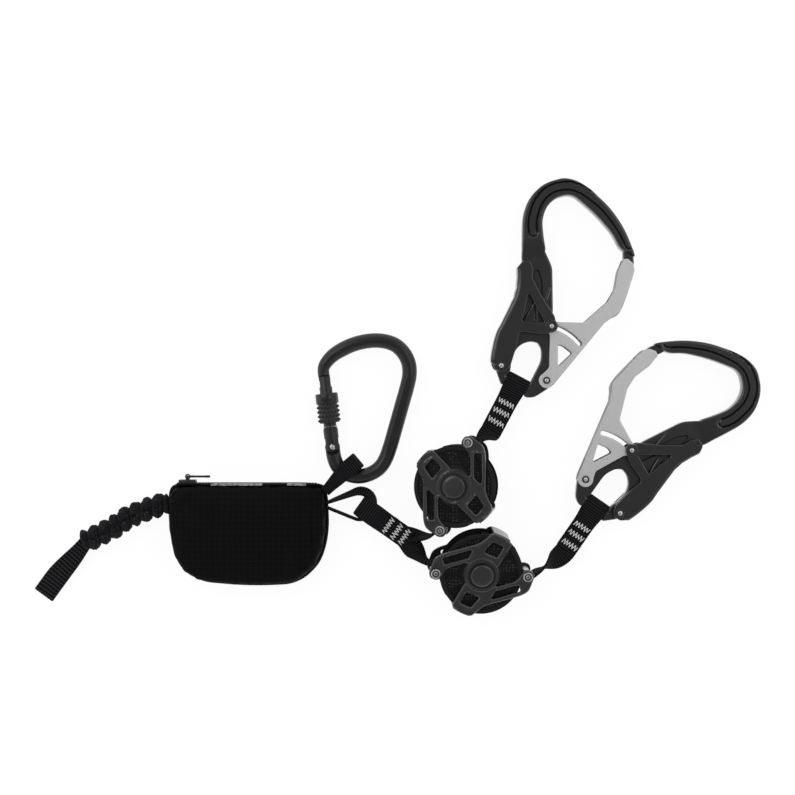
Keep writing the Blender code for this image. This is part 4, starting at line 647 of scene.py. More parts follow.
LEVER_PIVOT_SHARE = (-0.205, 0.067)
LOCK_PIN_SHARE = (0.022, 0.244)
LEVER_WALL = 0.0018
LEVER_EYE_RADIUS = 0.0045
PALM_PIN_HOLE = 0.0022
HAND_ROLL = 0.0042
BOSS_RADIUS = 0.0046
BOSS_HEIGHT = 0.0002
LEVER_SQUEEZE = math.radians(6.0)
GATE_SWING = math.radians(32.0)
LOCK_PIN_RADIUS = 0.0014


def disc(centre, radius, count=36):
    """A round outline."""
    return [Vector((centre[0] + radius * math.cos(turn), centre[1] + radius * math.sin(turn)))
            for turn in turns_of(count)]


def flat_at(height):
    """The height of a plate's face that is level all over."""
    return lambda points, edge: np.full(len(points), height)


def strip(path, width):
    """The outline of a band of one width, laid to the left of a line of points."""
    inner = []
    for index, point in enumerate(path):
        ahead = path[min(index + 1, len(path) - 1)] - point
        behind = point - path[max(index - 1, 0)]
        along = (ahead.normalized() + behind.normalized()).normalized()
        inner.append(point + Vector((-along.y, along.x)) * width)
    return list(path) + inner[::-1]


pivot = Vector(LEVER_PIVOT_SHARE) * PALM_LENGTH
lock_pin = Vector(LOCK_PIN_SHARE) * PALM_LENGTH
HAND_SIDE = evenly(smooth_line(sized(LEVER_WALL_SHARES, PALM_LENGTH), 4), 0.001, False)


def lever_face(points, edge):
    """The plate's outer face, rounded over on the hand's side, with a low boss round the lock pin."""
    soft = rolled_edge(from_line(points, HAND_SIDE), HAND_ROLL) * 0.4
    boss = BOSS_HEIGHT * eases(BOSS_RADIUS - np.hypot(*(points - np.array(lock_pin)).T), 0, 0.0004)
    return LEVER_OUTER - np.maximum(rolled_edge(edge, 0.0007), soft) + boss


lever_outline = eased(sized(LEVER_SHARES, PALM_LENGTH), 0.0040, flowing=False)
lever_window = eased(sized(LEVER_WINDOW_SHARES, PALM_LENGTH), 0.0012)
lever_holes = [lever_window, disc(pivot, PALM_PIN_HOLE), disc(lock_pin, LOCK_PIN_RADIUS + SEAT_GAP)]
lever_plate = relief("lever_plate", [lever_outline, disc(lock_pin, LEVER_EYE_RADIUS)], lever_holes,
                     lever_face, flat_at(LEVER_INNER), edge=0.0008, pitch=0.0013)
wall_line = smooth_line(sized(LEVER_WALL_SHARES, PALM_LENGTH), 4)
level = LEVER_INNER + SEAT_GAP
lever_wall = relief("lever_wall", [strip(wall_line, -LEVER_WALL)], [], flat_at(level), flat_at(-level),
                    edge=0.0003, pitch=0.0012)
lever_mesh = joined("palm_lever", [lever_plate, flipped(lever_plate), lever_wall])


# The gates: two blanked and bead-blasted aluminium plates with a rim between them, left silver. A curved
# slot takes the lever's lock pin, so the gate opens only while the lever is squeezed.

GATE_SHARES = (
    (0.350, 0.548), (0.368, 0.549), (0.391, 0.527), (0.397, 0.497), (0.386, 0.457),
    (0.331, 0.307), (0.262, 0.260), (0.155, 0.130), (0.030, -0.022), (-0.009, -0.036),
    (-0.036, 0.000), (-0.012, 0.035), (0.011, 0.057), (0.015, 0.204), (-0.003, 0.232),
    (0.001, 0.266), (0.030, 0.272), (0.052, 0.263), (0.168, 0.260), (0.275, 0.354),
    (0.308, 0.410), (0.322, 0.491), (0.345, 0.544),
)
GATE_WINDOW_SHARES = ((0.051, 0.160), (0.075, 0.157), (0.117, 0.123), (0.051, 0.060))
GATE_OUTER_RIM_SHARES = ((0.383, 0.447), (0.331, 0.307), (0.262, 0.260), (0.155, 0.130), (0.085, 0.046))
GATE_INNER_RIM_SHARES = ((0.287, 0.372), (0.308, 0.410), (0.322, 0.491), (0.333, 0.517))
GATE_RIM = 0.0020
GATE_EYE_RADIUS = 0.0057


def turn_about(point, centre, angle):
    """A point turned about a centre."""
    return centre + Matrix.Rotation(angle, 2) @ (point - centre)


def lock_path(steps=12):
    """Where the lock pin runs, seen from the gate, as the lever is squeezed and the gate swings in."""
    path = []
    for step in range(steps + 1):
        share = step / steps
        squeezed = turn_about(lock_pin, pivot, -LEVER_SQUEEZE * share)
        path.append(turn_about(squeezed, Vector((0, 0)), -GATE_SWING * share))
    return path


def slot_outline(path, radius):
    """A slot of one width along a line of points, with round ends."""
    left, right = [], []
    for index, point in enumerate(path):
        along = heading(path, index).normalized()
        side = Vector((-along.y, along.x)) * radius
        left.append(point + side)
        right.append(point - side)
    ends = []
    for point, corner in ((path[-1], left[-1]), (path[0], right[0])):
        for step in range(1, 8):
            ends.append(point + Matrix.Rotation(-math.pi * step / 8, 2) @ (corner - point))
    return left + ends[:7] + right[::-1] + ends[7:]


gate_outline = eased(sized(GATE_SHARES, PALM_LENGTH), 0.0045, flowing=False)
gate_slot = slot_outline(lock_path(), LOCK_PIN_RADIUS + SEAT_GAP)
gate_window = eased(sized(GATE_WINDOW_SHARES, PALM_LENGTH), 0.0012)
gate_holes = [gate_slot, gate_window, disc((0, 0), PALM_PIN_HOLE)]
gate_plate = relief("gate_plate", [gate_outline, disc((0, 0), GATE_EYE_RADIUS)], gate_holes,
                    lambda points, edge: GATE_OUTER - rolled_edge(edge, 0.0005), flat_at(GATE_INNER),
                    edge=0.0005, pitch=0.0014)
shells = [gate_plate, flipped(gate_plate)]
level = GATE_INNER + SEAT_GAP
for shares in (GATE_OUTER_RIM_SHARES, GATE_INNER_RIM_SHARES):
    line = smooth_line(sized(shares, PALM_LENGTH), 4)
    shells.append(relief("gate_rim", [strip(line, -GATE_RIM)], [], flat_at(level), flat_at(-level),
                         edge=0.0003, pitch=0.0012))
gate_mesh = joined("palm_gate", shells)

# Bead-blasted aluminium: a pale, even satin metal, with a faint lengthwise grain from the rolled sheet.
# Its rolled edges are painted darker, as painted shade where they turn away from the light.
satin_aluminium = grained(
    "bead-blasted aluminium", 0.46, size=(0.0009, 0.012, 0.0009), detail=3, dark="#cacacb", light="#d6d6d7",
    shine=(0.36, 0.50), bump=(0.15, 0.0001), edge=(0.3, 0.8, "#6c6c6e"), Metallic=0.45)


# Rivets: stainless steel, turned and closed in a press, so each head is a low dome in a pressed ring. The dome
# is left bright, and the ring round it is as black as the carabiner.

PALM_PIN_RADIUS = 0.0019
PALM_PIN_HEAD_RADIUS = 0.0032
RIVET_HEAD = 0.0006
RIVET_DOME = 0.0007

# Stainless steel, turned: bright, with fine rings from the tool.
stainless_steel = grained(
    "turned stainless steel", 0.28, size=0.0006, detail=3, dark="#b4b3b0", light="#d8d7d4", shine=(0.2, 0.4),
    Metallic=1.0)


def mirrored(half):
    """A whole turned profile from its upper half."""
    return [(radius, -height) for radius, height in half[:0:-1]] + half[1:]


def rivet(shank, seat, head, dome):
    """A rivet whose heads seat on the outer plates: each a bright dome in a flat pressed ring that is black."""
    top = seat + RIVET_HEAD
    half = [(shank, 0), (shank, seat), (head, seat + 0.00005), (head, top - 0.0003),
            (head - 0.0002, top - 0.0001), (dome + 0.0004, top - 0.0001), (dome + 0.0001, top - 0.0004),
            (dome, top - 0.0004)]
    half += [(dome * math.cos(t), top - 0.0004 + RIVET_DOME * math.sin(t)) for t in (0.3, 0.6, 0.9, 1.2)]
    mesh = lathe("rivet", mirrored(half + [(0, top + 0.0003)]), steps=40)
    mesh.materials.append(anodised_aluminium)
    mesh.materials.append(stainless_steel)
    for face in mesh.polygons:
        face.material_index = int(math.hypot(face.center.x, face.center.y) < dome)
    return mesh


GATE_SEAT, LEVER_SEAT = GATE_OUTER + SEAT_GAP, LEVER_OUTER + SEAT_GAP
# Each pin's place, its shank's radius, where its heads seat, the radii of its heads and domes, and its body
PALM_PINS = (
    ("gate_pin", Vector((0, 0)), PALM_PIN_RADIUS, GATE_SEAT, 0.0026, 0.0016, "carabiner"),
    ("lever_pin", pivot, PALM_PIN_RADIUS, LEVER_SEAT, PALM_PIN_HEAD_RADIUS, 0.0018, "carabiner"),
    ("lock_pin", lock_pin, LOCK_PIN_RADIUS, LEVER_SEAT, PALM_PIN_HEAD_RADIUS, 0.0017, "lever_body"),
)
for palm, place in PALMS.items():
    for word, mesh, metal, body, slot, node in (
        ("forged_body", palm_body_mesh, anodised_aluminium, "carabiner", "anodised", "body"),
        ("squeeze_lever", lever_mesh, anodised_aluminium, "lever_body", "anodised", "lever"),
        ("plate_gate", gate_mesh, satin_aluminium, "gate_body", "satin", "gate"),
    ):
        piece(f"{palm}_{word}", mesh.copy(), metal, f"{palm}_{body}", slot, f"{palm}_{node}", place=place)
    for word, centre, shank, seat, head, dome, body in PALM_PINS:
        piece(f"{palm}_{word}_rivet", rivet(shank, seat, head, dome), None, f"{palm}_{body}", "steel",
              f"{palm}_{word}", place=place @ Matrix.Translation((centre.x, centre.y, 0)))
    for word in ("gate_spring", "lever_spring"):
        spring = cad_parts[f"{palm}_{word}"]
        spring.data.materials.clear()
        spring.data.materials.append(stainless_steel)


# Webbing: flat polyester tape, woven tubular and pressed flat, with fine cross ribs and a rounded selvedge.
# The straps follow the same routes as the solids that they stand for.

STRAP_WIDTH = 0.0156
STRAP_THICKNESS = 0.0020
FOLD_WIDTH = 0.0172
PLY_OFFSET = 0.00115
SEWN_LENGTH = 0.0380
SEWN_START = 0.0155
PALM_LOOP_RADIUS = PALM_BAR_RADIUS + SEAT_GAP + STRAP_THICKNESS / 2
POST_OFFSET = 0.0335
GUIDE_RADIUS = 0.0042
WRAP_RADIUS = 0.0293
REEL_HEIGHT = 0.016791
REEL_TILT = math.radians(10.0)
WRAP_START = math.radians(125)
REEL_LEAN = math.radians(199.0)
STRAP_PITCH = 0.0012
YARN_FUZZ = 0.0016


def reel_place(x, y, turn):
    """Where a reel lies, tilted on its lower posts."""
    lean = Vector((math.cos(REEL_LEAN), math.sin(REEL_LEAN), 0))
    return laid(x, y, REEL_HEIGHT, turn, Matrix.Rotation(REEL_TILT, 4, UP.cross(lean)))


REELS = {
    "reel_a": reel_place(0.152604, 0.036288, math.radians(-17.7)),
    "reel_b": reel_place(0.170154, -0.025704, math.radians(87.3)),
}


def span(start, start_pull, end, end_pull, steps=24):
    """Stations from one to another along a smooth curve that leaves and arrives by the two pulls."""
    made = []
    for step in range(1, steps):
        t = step / steps
        ease = t * t * (3 - 2 * t)
        middle = (
            start[0] * (2 * t ** 3 - 3 * t * t + 1) + start_pull * (t ** 3 - 2 * t * t + t)
            + end[0] * (3 * t * t - 2 * t ** 3) + end_pull * (t ** 3 - t * t)
        )
        made.append((middle, start[1].lerp(end[1], ease), start[2] + (end[2] - start[2]) * ease))
    return made


def fold_round(centre, along, across, radius, width, steps=14):
    """Stations of a half turn round a bar, from below it to above it, bulging along the given way."""
    made = []
    for step in range(steps + 1):
        turn = math.pi * (step / steps - 0.5)
        middle = centre + along * (radius * math.cos(turn)) + UP * (radius * math.sin(turn))
        made.append((middle, across, width))
    return made


def reel_exit(hub, side, to_angle, steps=16):
    """Stations from outside the reel, round a guide post and on to the spool's rim. Side picks the post."""
    matrix = hub @ Matrix.Rotation(0 if side > 0 else math.pi, 4, "Z")
    across = (hub.to_3x3() @ UP).normalized()
    made = []
    for step in range(12):
        angle = WRAP_START + (math.pi / 2 - WRAP_START) * step / 11
        made.append(Vector((math.cos(angle), math.sin(angle), 0)) * WRAP_RADIUS)
    for step in range(1, steps + 1):
        angle = -math.pi / 2 + (to_angle + math.pi / 2) * step / steps
        made.append(Vector((math.cos(angle), math.sin(angle), 0)) * GUIDE_RADIUS + Vector((0, POST_OFFSET, 0)))
    made.append(made[-1] + Vector((-math.sin(to_angle), math.cos(to_angle), 0)) * GUIDE_RADIUS)
    return [(matrix @ point, across, STRAP_WIDTH) for point in made[::-1]]


def respaced(stations, pitch=STRAP_PITCH):
    """The same route with its stations evenly spaced, smoothed along the bends."""
    lengths = travelled([middle for middle, _, _ in stations])
    count = max(2, round(lengths[-1] / pitch))
    made = []
    index = 0
    for step in range(count + 1):
        target = lengths[-1] * step / count
        while index < len(stations) - 2 and lengths[index + 1] < target:
            index += 1
        share = (target - lengths[index]) / max(lengths[index + 1] - lengths[index], 1e-9)
        share = min(max(share, 0.0), 1.0)
        before, after = stations[max(index - 1, 0)], stations[min(index + 2, len(stations) - 1)]
        first, second = stations[index], stations[index + 1]
        middle = curved(before[0], first[0], second[0], after[0], share)
        across = first[1].lerp(second[1], share).normalized()
        made.append((middle, across, first[2] + (second[2] - first[2]) * share))
    return made


def mapped(mesh, flow):
    """Keeps on each point where it lies across and along its tape, in metres."""
    layer = mesh.attributes.new("along_tape", "FLOAT_VECTOR", "POINT")
    layer.data.foreach_set("vector", np.array(flow, np.float32).ravel())


def band(name, stations, thickness=STRAP_THICKNESS):
    """A woven strap along its stations: a flat tube with rounded selvedges, and a map in metres on it."""
    stations = respaced(stations)
    middles = [middle for middle, _, _ in stations]
    half = thickness / 2
    turns = [-math.pi / 2 + math.pi * k / 4 for k in range(5)]
    sides = [(1, half * math.cos(turn), half * math.sin(turn)) for turn in turns]
    face = [(1 - 2 * k / 9, 0, half) for k in range(1, 9)]
    section = sides + face + [(-1, -x, y) for _, x, y in sides[::-1]] + [(-s, 0, -half) for s, _, _ in face]
    rings, flow = [], []
    for index, ((middle, across, width), run) in enumerate(zip(stations, travelled(middles))):
        ahead = heading(middles, index).normalized()
        across = (across - ahead * across.dot(ahead)).normalized()
        rise = ahead.cross(across)
        leans = [side * (width / 2 - half) + out for side, out, _ in section]
        rings.append([middle + across * lean + rise * up for lean, (_, _, up) in zip(leans, section)])
        flow += [(lean, run, 0.0) for lean in leans]
    mesh = skinned(name, rings, angle=60)
    mapped(mesh, flow)
    return mesh


def ribbed(tree, shader, height, stops, depth, rise):
    """A cloth's relief, and its tones led by the same height: painted highlight where it is raised, painted
    shade where it is low.
    """
    tone = add(tree, "ShaderNodeValToRGB", links={"Fac": height.outputs[0]}, stops=stops)
    bump = add(tree, "ShaderNodeBump", {"Strength": depth, "Distance": rise}, {"Height": height.outputs[0]})
    wire(tree, shader, {"Base Color": tone.outputs["Color"], "Normal": bump.outputs[0]})


def woven(name, dark, light, rib=0.0018, yarn=0.0011, depth=0.6):
    """Polyester tape: its weft makes cross ribs, and its warp yarns cross them in a faint waver."""
    made, tree, shader = finish(name, 0.85, Sheen_Weight=0.03, Sheen_Roughness=0.4, Specular_IOR_Level=0.12)
    flow = add(tree, "ShaderNodeAttribute", attribute_name="along_tape")
    parts = add(tree, "ShaderNodeSeparateXYZ", links={0: flow.outputs["Vector"]})
    twist = add(tree, "ShaderNodeMath", {1: math.pi / yarn}, {0: parts.outputs["X"]}, operation="MULTIPLY")
    waves = add(tree, "ShaderNodeMath", links={0: twist.outputs[0]}, operation="SINE")
    lean = add(tree, "ShaderNodeMath", {1: rib * 0.06}, {0: waves.outputs[0], 2: parts.outputs["Y"]},
               operation="MULTIPLY_ADD")
    ribs = add(tree, "ShaderNodeMath", {1: 2 * math.pi / rib}, {0: lean.outputs[0]}, operation="MULTIPLY")
    ribs = add(tree, "ShaderNodeMath", links={0: ribs.outputs[0]}, operation="SINE")
    share = add(tree, "ShaderNodeMapRange", {1: -1.0, 2: 1.0, 3: 0.0, 4: 1.0}, {0: ribs.outputs[0]})
    where = add(tree, "ShaderNodeTexCoord")
    fuzz = add(tree, "ShaderNodeTexNoise", {"Scale": 1 / YARN_FUZZ, "Detail": 4},
               {"Vector": where.outputs["Object"]})
    height = add(tree, "ShaderNodeMath", {1: 0.45}, {0: fuzz.outputs["Fac"], 2: share.outputs[0]},
                 operation="MULTIPLY_ADD")
    ribbed(tree, shader, height, ((0.45, dark), (1.0, light)), depth, 0.0004)
    return made


# The real weft is about 0.5 mm apart. It is drawn at 1.8 mm, as coarse as the photograph's ribs read.
# Its lighter tone is painted highlight on the rib crests, and its darker one painted shade between them.
black_webbing = woven("woven polyester webbing", "#020203", "#232326")


def palm_strap(palm, hub, side, exit_angle, pull):
    """Sewn end, round the carabiner's bar, through the stitching, then twisting on edge into the reel."""
    place = PALMS[palm].to_3x3()
    middle = PALMS[palm] @ (Vector(PALM_BAR_SHARE) * PALM_LENGTH).to_3d()
    across = (place @ Vector(PALM_BAR_DIRECTION).to_3d()).normalized()
    inward = UP.cross(across)
    if inward.dot(place @ Vector((0, 1, 0))) < 0:
        inward = -inward

    def flat(distance, height):
        """A station of the sewn plies, so far from the bar."""
        width = FOLD_WIDTH + (STRAP_WIDTH - FOLD_WIDTH) * min(1, distance / SEWN_START)
        return (middle - inward * distance + UP * height, across, width)

    halfway = (PLY_OFFSET + PALM_LOOP_RADIUS) / 1.8
    levels = ((SEWN_LENGTH, PLY_OFFSET), (SEWN_START, PLY_OFFSET), (SEWN_START * 0.45, halfway))
    stations = [flat(distance, -height) for distance, height in levels]
    stations += fold_round(middle, inward, across, PALM_LOOP_RADIUS, FOLD_WIDTH)
    stations += [flat(distance, height) for distance, height in levels[::-1]]
    wrap = reel_exit(hub, side, exit_angle)
    lead_in = (wrap[1][0] - wrap[0][0]).normalized()
    if across.dot(wrap[0][1]) < -0.5:
        wrap = [(point, -way, width) for point, way, width in wrap]
    stations += span(stations[-1], -inward * pull[0], wrap[0], lead_in * pull[1])
    return stations + wrap, middle, across, inward


# Stitching: white bonded polyester thread, lockstitched through both plies. Each bar is a close zigzag, drawn
# as its single stitches.

THREAD_RADIUS = 0.00034
STITCHES = 11
STITCH_LENGTH = 0.0037
STITCH_STRAY = 0.12
STITCH_LEAN = 0.42
STITCHED_WIDTH = STRAP_WIDTH * 0.80

# Bonded thread: bright white strands twisted together, with the twist as a fine unevenness.
bonded_thread = grained(
    "bonded polyester thread", 0.55, size=0.0007, detail=2, dark="#c2c1be", light="#f4f3f0",
    bump=(0.3, 0.0001), Sheen_Weight=0.2)


def stitch_bar(middle, across, along, rise):
    """One bar across a strap: a close zigzag of short threads that each dip into the tape at both ends."""
    shells = []
    pitch = STITCHED_WIDTH / STITCHES
    for k in range(STITCHES):
        centre = middle + across * ((k + 0.5) * pitch - STITCHED_WIDTH / 2)
        centre += along * (math.sin(k * 2.4 + middle.x * 900) * STITCH_LENGTH * STITCH_STRAY)
        reach = STITCH_LENGTH * (0.86 + 0.14 * math.sin(k * 1.7 + middle.y * 700)) / 2
        lean = pitch * STITCH_LEAN * (1 if k % 2 else -1)
        line = []
        for step in range(7):
            t = step / 3 - 1
            line.append(centre + along * (t * reach) + across * (lean * t)
                        + rise * (THREAD_RADIUS * (1.1 * (1 - t ** 4) - 0.3)))
        shells.append(bar_mesh("stitch", line, [THREAD_RADIUS] * 7, sides=6))
    return joined("stitches", shells)


def sewn_bars(name, distances, middle, along, across):
    """The bars of stitches on both faces of a strap, at some distances along it."""
    bars = []
    for distance in distances:
        for face in (UP, -UP):
            at = middle + along * distance + face * (PLY_OFFSET + STRAP_THICKNESS / 2)
            bars.append(stitch_bar(at, across, along, face))
    piece(name, joined("bars", bars), bonded_thread, "lanyard", "webbing")


# Where each bar of stitches lies along its strap from the carabiner's bar, minus being towards the reel
PALM_SEWING = {"palm_a": (-0.0158, -0.0234, -0.0315), "palm_b": (-0.0175, -0.0250, -0.0332)}
for palm, reel, side, exit_angle, pull in (
    ("palm_a", "reel_a", 1, math.radians(-38), (0.012, 0.010)),
    ("palm_b", "reel_b", -1, math.radians(40), (0.024, 0.020)),
):
    stations, middle, across, inward = palm_strap(palm, REELS[reel], side, exit_angle, pull)
    piece(f"{palm}_sewn_strap", band("strap", stations), black_webbing, "lanyard", "webbing", f"{palm}_strap")
    sewn_bars(f"{palm}_strap_stitching", PALM_SEWING[palm], middle, inward, across)


# The yoke: one strap folded round the absorber's loop and sewn flat, that runs on into the right reel.
# The lead into the left reel is sewn on top of it.

ABSORBER_LOOP_RADIUS = 0.0105
ABSORBER_LOOP_HEIGHT = 0.0096
YOKE_EXIT = math.radians(-8)
YOKE_SEWING = (0.0190, 0.0268, 0.0336)
LEAD_SEWN_SHARES = (0.58, 0.90)
absorber_exit = Vector((0.05773, 0.02185, 0.0100))
yoke_fold = Vector((0.082296, 0.0216, 0.0100))
yoke_split = Vector((0.115506, -0.00189, 0.0100))
away = (yoke_split - yoke_fold).normalized()
across = UP.cross(away)
opening = ABSORBER_LOOP_HEIGHT / 2 + STRAP_THICKNESS / 2 + SEAT_GAP * 2
middle = yoke_fold + away * (ABSORBER_LOOP_RADIUS * 0.6)
past = ABSORBER_LOOP_RADIUS * 0.5 + STRAP_THICKNESS


def on_yoke(distance, height):
    """A station of the yoke's sewn end, so far from its fold."""
    return middle + away * distance + UP * height, across, STRAP_WIDTH


def into_reel(stations, reel, side, bend):
    """The route carried on from its last station into a reel, with a bend in its pull."""
    wrap = [(point, -way, width) for point, way, width in reel_exit(REELS[reel], side, YOKE_EXIT)]
    lead_in = (wrap[1][0] - wrap[0][0]).normalized()
    gap = (wrap[0][0] - stations[-1][0]).length
    pull = Matrix.Rotation(math.radians(bend), 3, "Z") @ away * gap
    return stations + span(stations[-1], pull, wrap[0], lead_in * gap) + wrap


length = (yoke_split - middle).length
levels = ((length, PLY_OFFSET), (past + opening * 1.8, PLY_OFFSET), (past + opening * 0.9, opening * 0.6),
          (past, opening))
stations = [on_yoke(distance, -height) for distance, height in levels]
stations += fold_round(middle, -away, across, opening, STRAP_WIDTH)
stations = into_reel(stations + [on_yoke(*each) for each in levels[::-1]], "reel_b", 1, -14)
piece("sewn_yoke", band("yoke", stations), black_webbing, "lanyard", "webbing", "lanyard_yoke")

start, end = (on_yoke(length * share, -PLY_OFFSET * 3) for share in LEAD_SEWN_SHARES)
end = (end[0], (end[1] * 0.55 - UP * 0.45).normalized(), end[2])
stations = into_reel([start, end], "reel_a", -1, 40)
piece("left_reel_lead", band("lead", stations), black_webbing, "lanyard", "webbing", "reel_a_lead")
sewn_bars("yoke_stitching", YOKE_SEWING, middle, away, across)


# The absorber's own loop: woven tape that stands on edge where it leaves the pouch, with the yoke folded round
# it. In plan it opens from the pouch's corner, its upper run leaning over as it widens.

LOOP_LEAN = math.radians(38)
LOOP_OPENS = math.radians(115)
LOOP_STEPS = 16
along = (yoke_fold - absorber_exit).normalized()
side = UP.cross(along)
mouth = STRAP_THICKNESS / 2 + SEAT_GAP * 2
stations = [(absorber_exit + side * mouth, UP, ABSORBER_LOOP_HEIGHT)]
for step in range(LOOP_STEPS + 1):
    share = step / LOOP_STEPS
    turn = LOOP_OPENS - 2 * LOOP_OPENS * share
    lean = LOOP_LEAN * math.sin(math.pi * min(1, 0.25 + share * 1.25))
    out = along * math.cos(turn) + side * math.sin(turn)
    across = UP * math.cos(lean) - out * math.sin(lean)
    stations.append((yoke_fold + out * ABSORBER_LOOP_RADIUS, across, ABSORBER_LOOP_HEIGHT))
stations.append((absorber_exit - side * mouth, UP, ABSORBER_LOOP_HEIGHT))
piece("absorber_webbing_loop", band("loop", stations), black_webbing, "lanyard", "webbing", "absorber_loop")


# Webbing reels: each takes up the slack of one arm. Two S-shaped moulded frames, held apart by two guide
# posts, carry a spool that a flat spring turns. The frames are glass-filled nylon, glossy on their edges.

REEL_RADIUS = 0.0298
SPOOL_INNER = 0.0081
SPOOL_OUTER = 0.0093
FRAME_INNER = 0.0096
FRAME_OUTER = 0.0120
HUB_RING_RADIUS = 0.0130
HUB_RING_TOP = 0.0129
HUB_LINE_RADII = (0.0125, 0.0097, 0.0093)
HUB_SINK_RADIUS = 0.0097
HUB_SINK = 0.0008
FRAME_LIP = 0.0004
GUARD_WALL = 0.0016
GUARD_START, GUARD_SWEEP = -13, 24
HUB_CAP_RADIUS = 0.0082
HUB_CAP_TOP = 0.0153
SPOOL_CORE_RADIUS = 0.0106
SPOOL_CHAMBER_RADIUS = 0.0090
AXLE_RADIUS = 0.0026
POST_RADIUS = 0.0029
POST_STEM_RADIUS = 0.0017
POST_HEAD_RADIUS = 0.0034
POST_GROOVE = (0.0016, 0.0025)
COIL_TURNS = 2.5
COIL_STEPS = 80
FRAME_HALF_SHARES = (
    (-0.148, 1.027), (-0.168, 1.124), (-0.117, 1.245), (0.000, 1.292), (0.362, 1.178),
    (0.463, 1.037), (0.540, 0.836), (0.758, 0.144), (0.866, -0.013), (1.034, -0.178),
    (1.037, -0.268), (0.993, -0.423), (0.913, -0.557), (0.785, -0.691), (0.074, -0.322),
    (-0.309, -0.342), (-0.144, -0.842), (0.030, -0.970),
)
FRAME_SLOT_SHARES = ((0.215, 0.923), (0.389, 0.977), (0.634, 0.238), (0.396, 0.352))
FRAME_DIAMOND_SHARES = ((0.570, -0.013), (0.836, -0.221), (0.715, -0.497), (0.440, -0.349))

# Glass-filled nylon: matte and very finely pitted from the mould, a little lighter where the ribs catch light.
filled_nylon = grained(
    "moulded glass-filled nylon", 0.42, size=0.0007, detail=3, dark="#151516", light="#1f1f20",
    shine=(0.36, 0.52), bump=(0.12, 0.0001), edge=(0.25, 0.7, "#5a5a5d"), Specular_IOR_Level=0.4,
    Coat_Weight=0.7, Coat_Roughness=0.05)

# Spool flange: softer nylon, moulded with a raised mesh of small loops between a smooth hub and a smooth rim.
# The loops' tone follows their height: painted highlight on the raised loops, painted shade near black between
# them.
LOOP_SIZE = 0.0023
looped_nylon, tree, shader = finish("moulded nylon with a looped texture", 0.62, Specular_IOR_Level=0.2)
where = add(tree, "ShaderNodeTexCoord")
cells = add(tree, "ShaderNodeTexVoronoi", {"Scale": 1 / LOOP_SIZE, "Randomness": 0.35},
            {"Vector": where.outputs["Object"]}, feature="F1")
knots = add(tree, "ShaderNodeMapRange", {1: 0.12, 2: 0.40, 3: 1.0, 4: 0.0}, {0: cells.outputs["Distance"]})
mask = add(tree, "ShaderNodeAttribute", attribute_name="wear_and_shading")
height = add(tree, "ShaderNodeMath", links={0: knots.outputs[0], 1: mask.outputs["Fac"]}, operation="MULTIPLY")
tone = add(tree, "ShaderNodeMapRange", {3: 0.0, 4: 1.0}, {0: knots.outputs[0]})
knot_highlight_and_shade = add(tree, "ShaderNodeMixRGB", {"Color1": linear("#010101"), "Color2": linear("#46464a")},
                {"Fac": tone.outputs[0]})
plain = add(tree, "ShaderNodeMixRGB", {"Color1": linear("#161617")},
            {"Fac": mask.outputs["Fac"], "Color2": knot_highlight_and_shade.outputs["Color"]})
bump = add(tree, "ShaderNodeBump", {"Strength": 1.0, "Distance": 0.0009}, {"Height": height.outputs[0]})
wire(tree, shader, {"Base Color": plain.outputs["Color"], "Normal": bump.outputs[0]})


def turned_ring(name, profile, steps=96, marks=None):
    """A turned piece with a bore: a closed profile of radius and height, and a mask value on each point."""
    rings = [[(radius * math.cos(turn), radius * math.sin(turn), height) for radius, height in profile]
             for turn in turns_of(steps)]
    mesh = skinned(name, rings, looped=True, angle=35)
    mesh.flip_normals()
    marked(mesh, (marks or [0.0] * len(profile)) * steps)
    return mesh


frame_half = sized(FRAME_HALF_SHARES, REEL_RADIUS)
frame_outline = eased(frame_half + [-point for point in frame_half], 0.0026)
windows = []
for shares in (FRAME_SLOT_SHARES, FRAME_DIAMOND_SHARES):
    window = sized(shares, REEL_RADIUS)
    windows += [eased(each, 0.0015) for each in (window, [-point for point in window])]
posts = [disc((0, side * POST_OFFSET), POST_STEM_RADIUS + SEAT_GAP) for side in (1, -1)]
hub_disc = disc((0, 0), HUB_RING_RADIUS, 60)
hub_lines = [np.array([point[:] for point in disc((0, 0), radius, 60)]) for radius in HUB_LINE_RADII]


def frame_face(points, edge):
    """The frame's outer face: a lip along its edge, and a raised ring round the hub with a sunk middle."""
    out = np.hypot(points[:, 0], points[:, 1])
    lip = FRAME_LIP * (eases(edge, 0.0004, 0.0009) - eases(edge, 0.0013, 0.0018))
    level = FRAME_OUTER - rolled_edge(edge, 0.0007) + lip
    ring = (HUB_RING_TOP - FRAME_OUTER) * eases(HUB_RING_RADIUS - out, 0, 0.0007)
    return level + ring - HUB_SINK * eases(HUB_SINK_RADIUS - out, 0, 0.0004) - FRAME_LIP


frame_holes = windows + posts + [disc((0, 0), AXLE_RADIUS + SEAT_GAP)]
reel_plate = relief("reel_frame", [frame_outline, hub_disc], frame_holes, frame_face, flat_at(FRAME_INNER),
                    edge=0.0007, pitch=0.0013, creases=hub_lines)
walls = []
for turn in (0, math.pi):
    angles = [math.radians(GUARD_START - GUARD_SWEEP * k / 10) + turn for k in range(11)]
    ways = [Vector((math.cos(angle), math.sin(angle))) for angle in angles]
    inner = [way * (REEL_RADIUS + SEAT_GAP * 3) for way in ways]
    outer = [way * (REEL_RADIUS + SEAT_GAP * 3 + GUARD_WALL) for way in ways]
    walls.append(relief("guard_wall", [outer + inner[::-1]], [], flat_at(FRAME_INNER + SEAT_GAP),
                        flat_at(SEAT_GAP / 2), edge=0.0003, pitch=0.0012))
reel_frame_mesh = joined("reel_frame", [reel_plate] + walls)

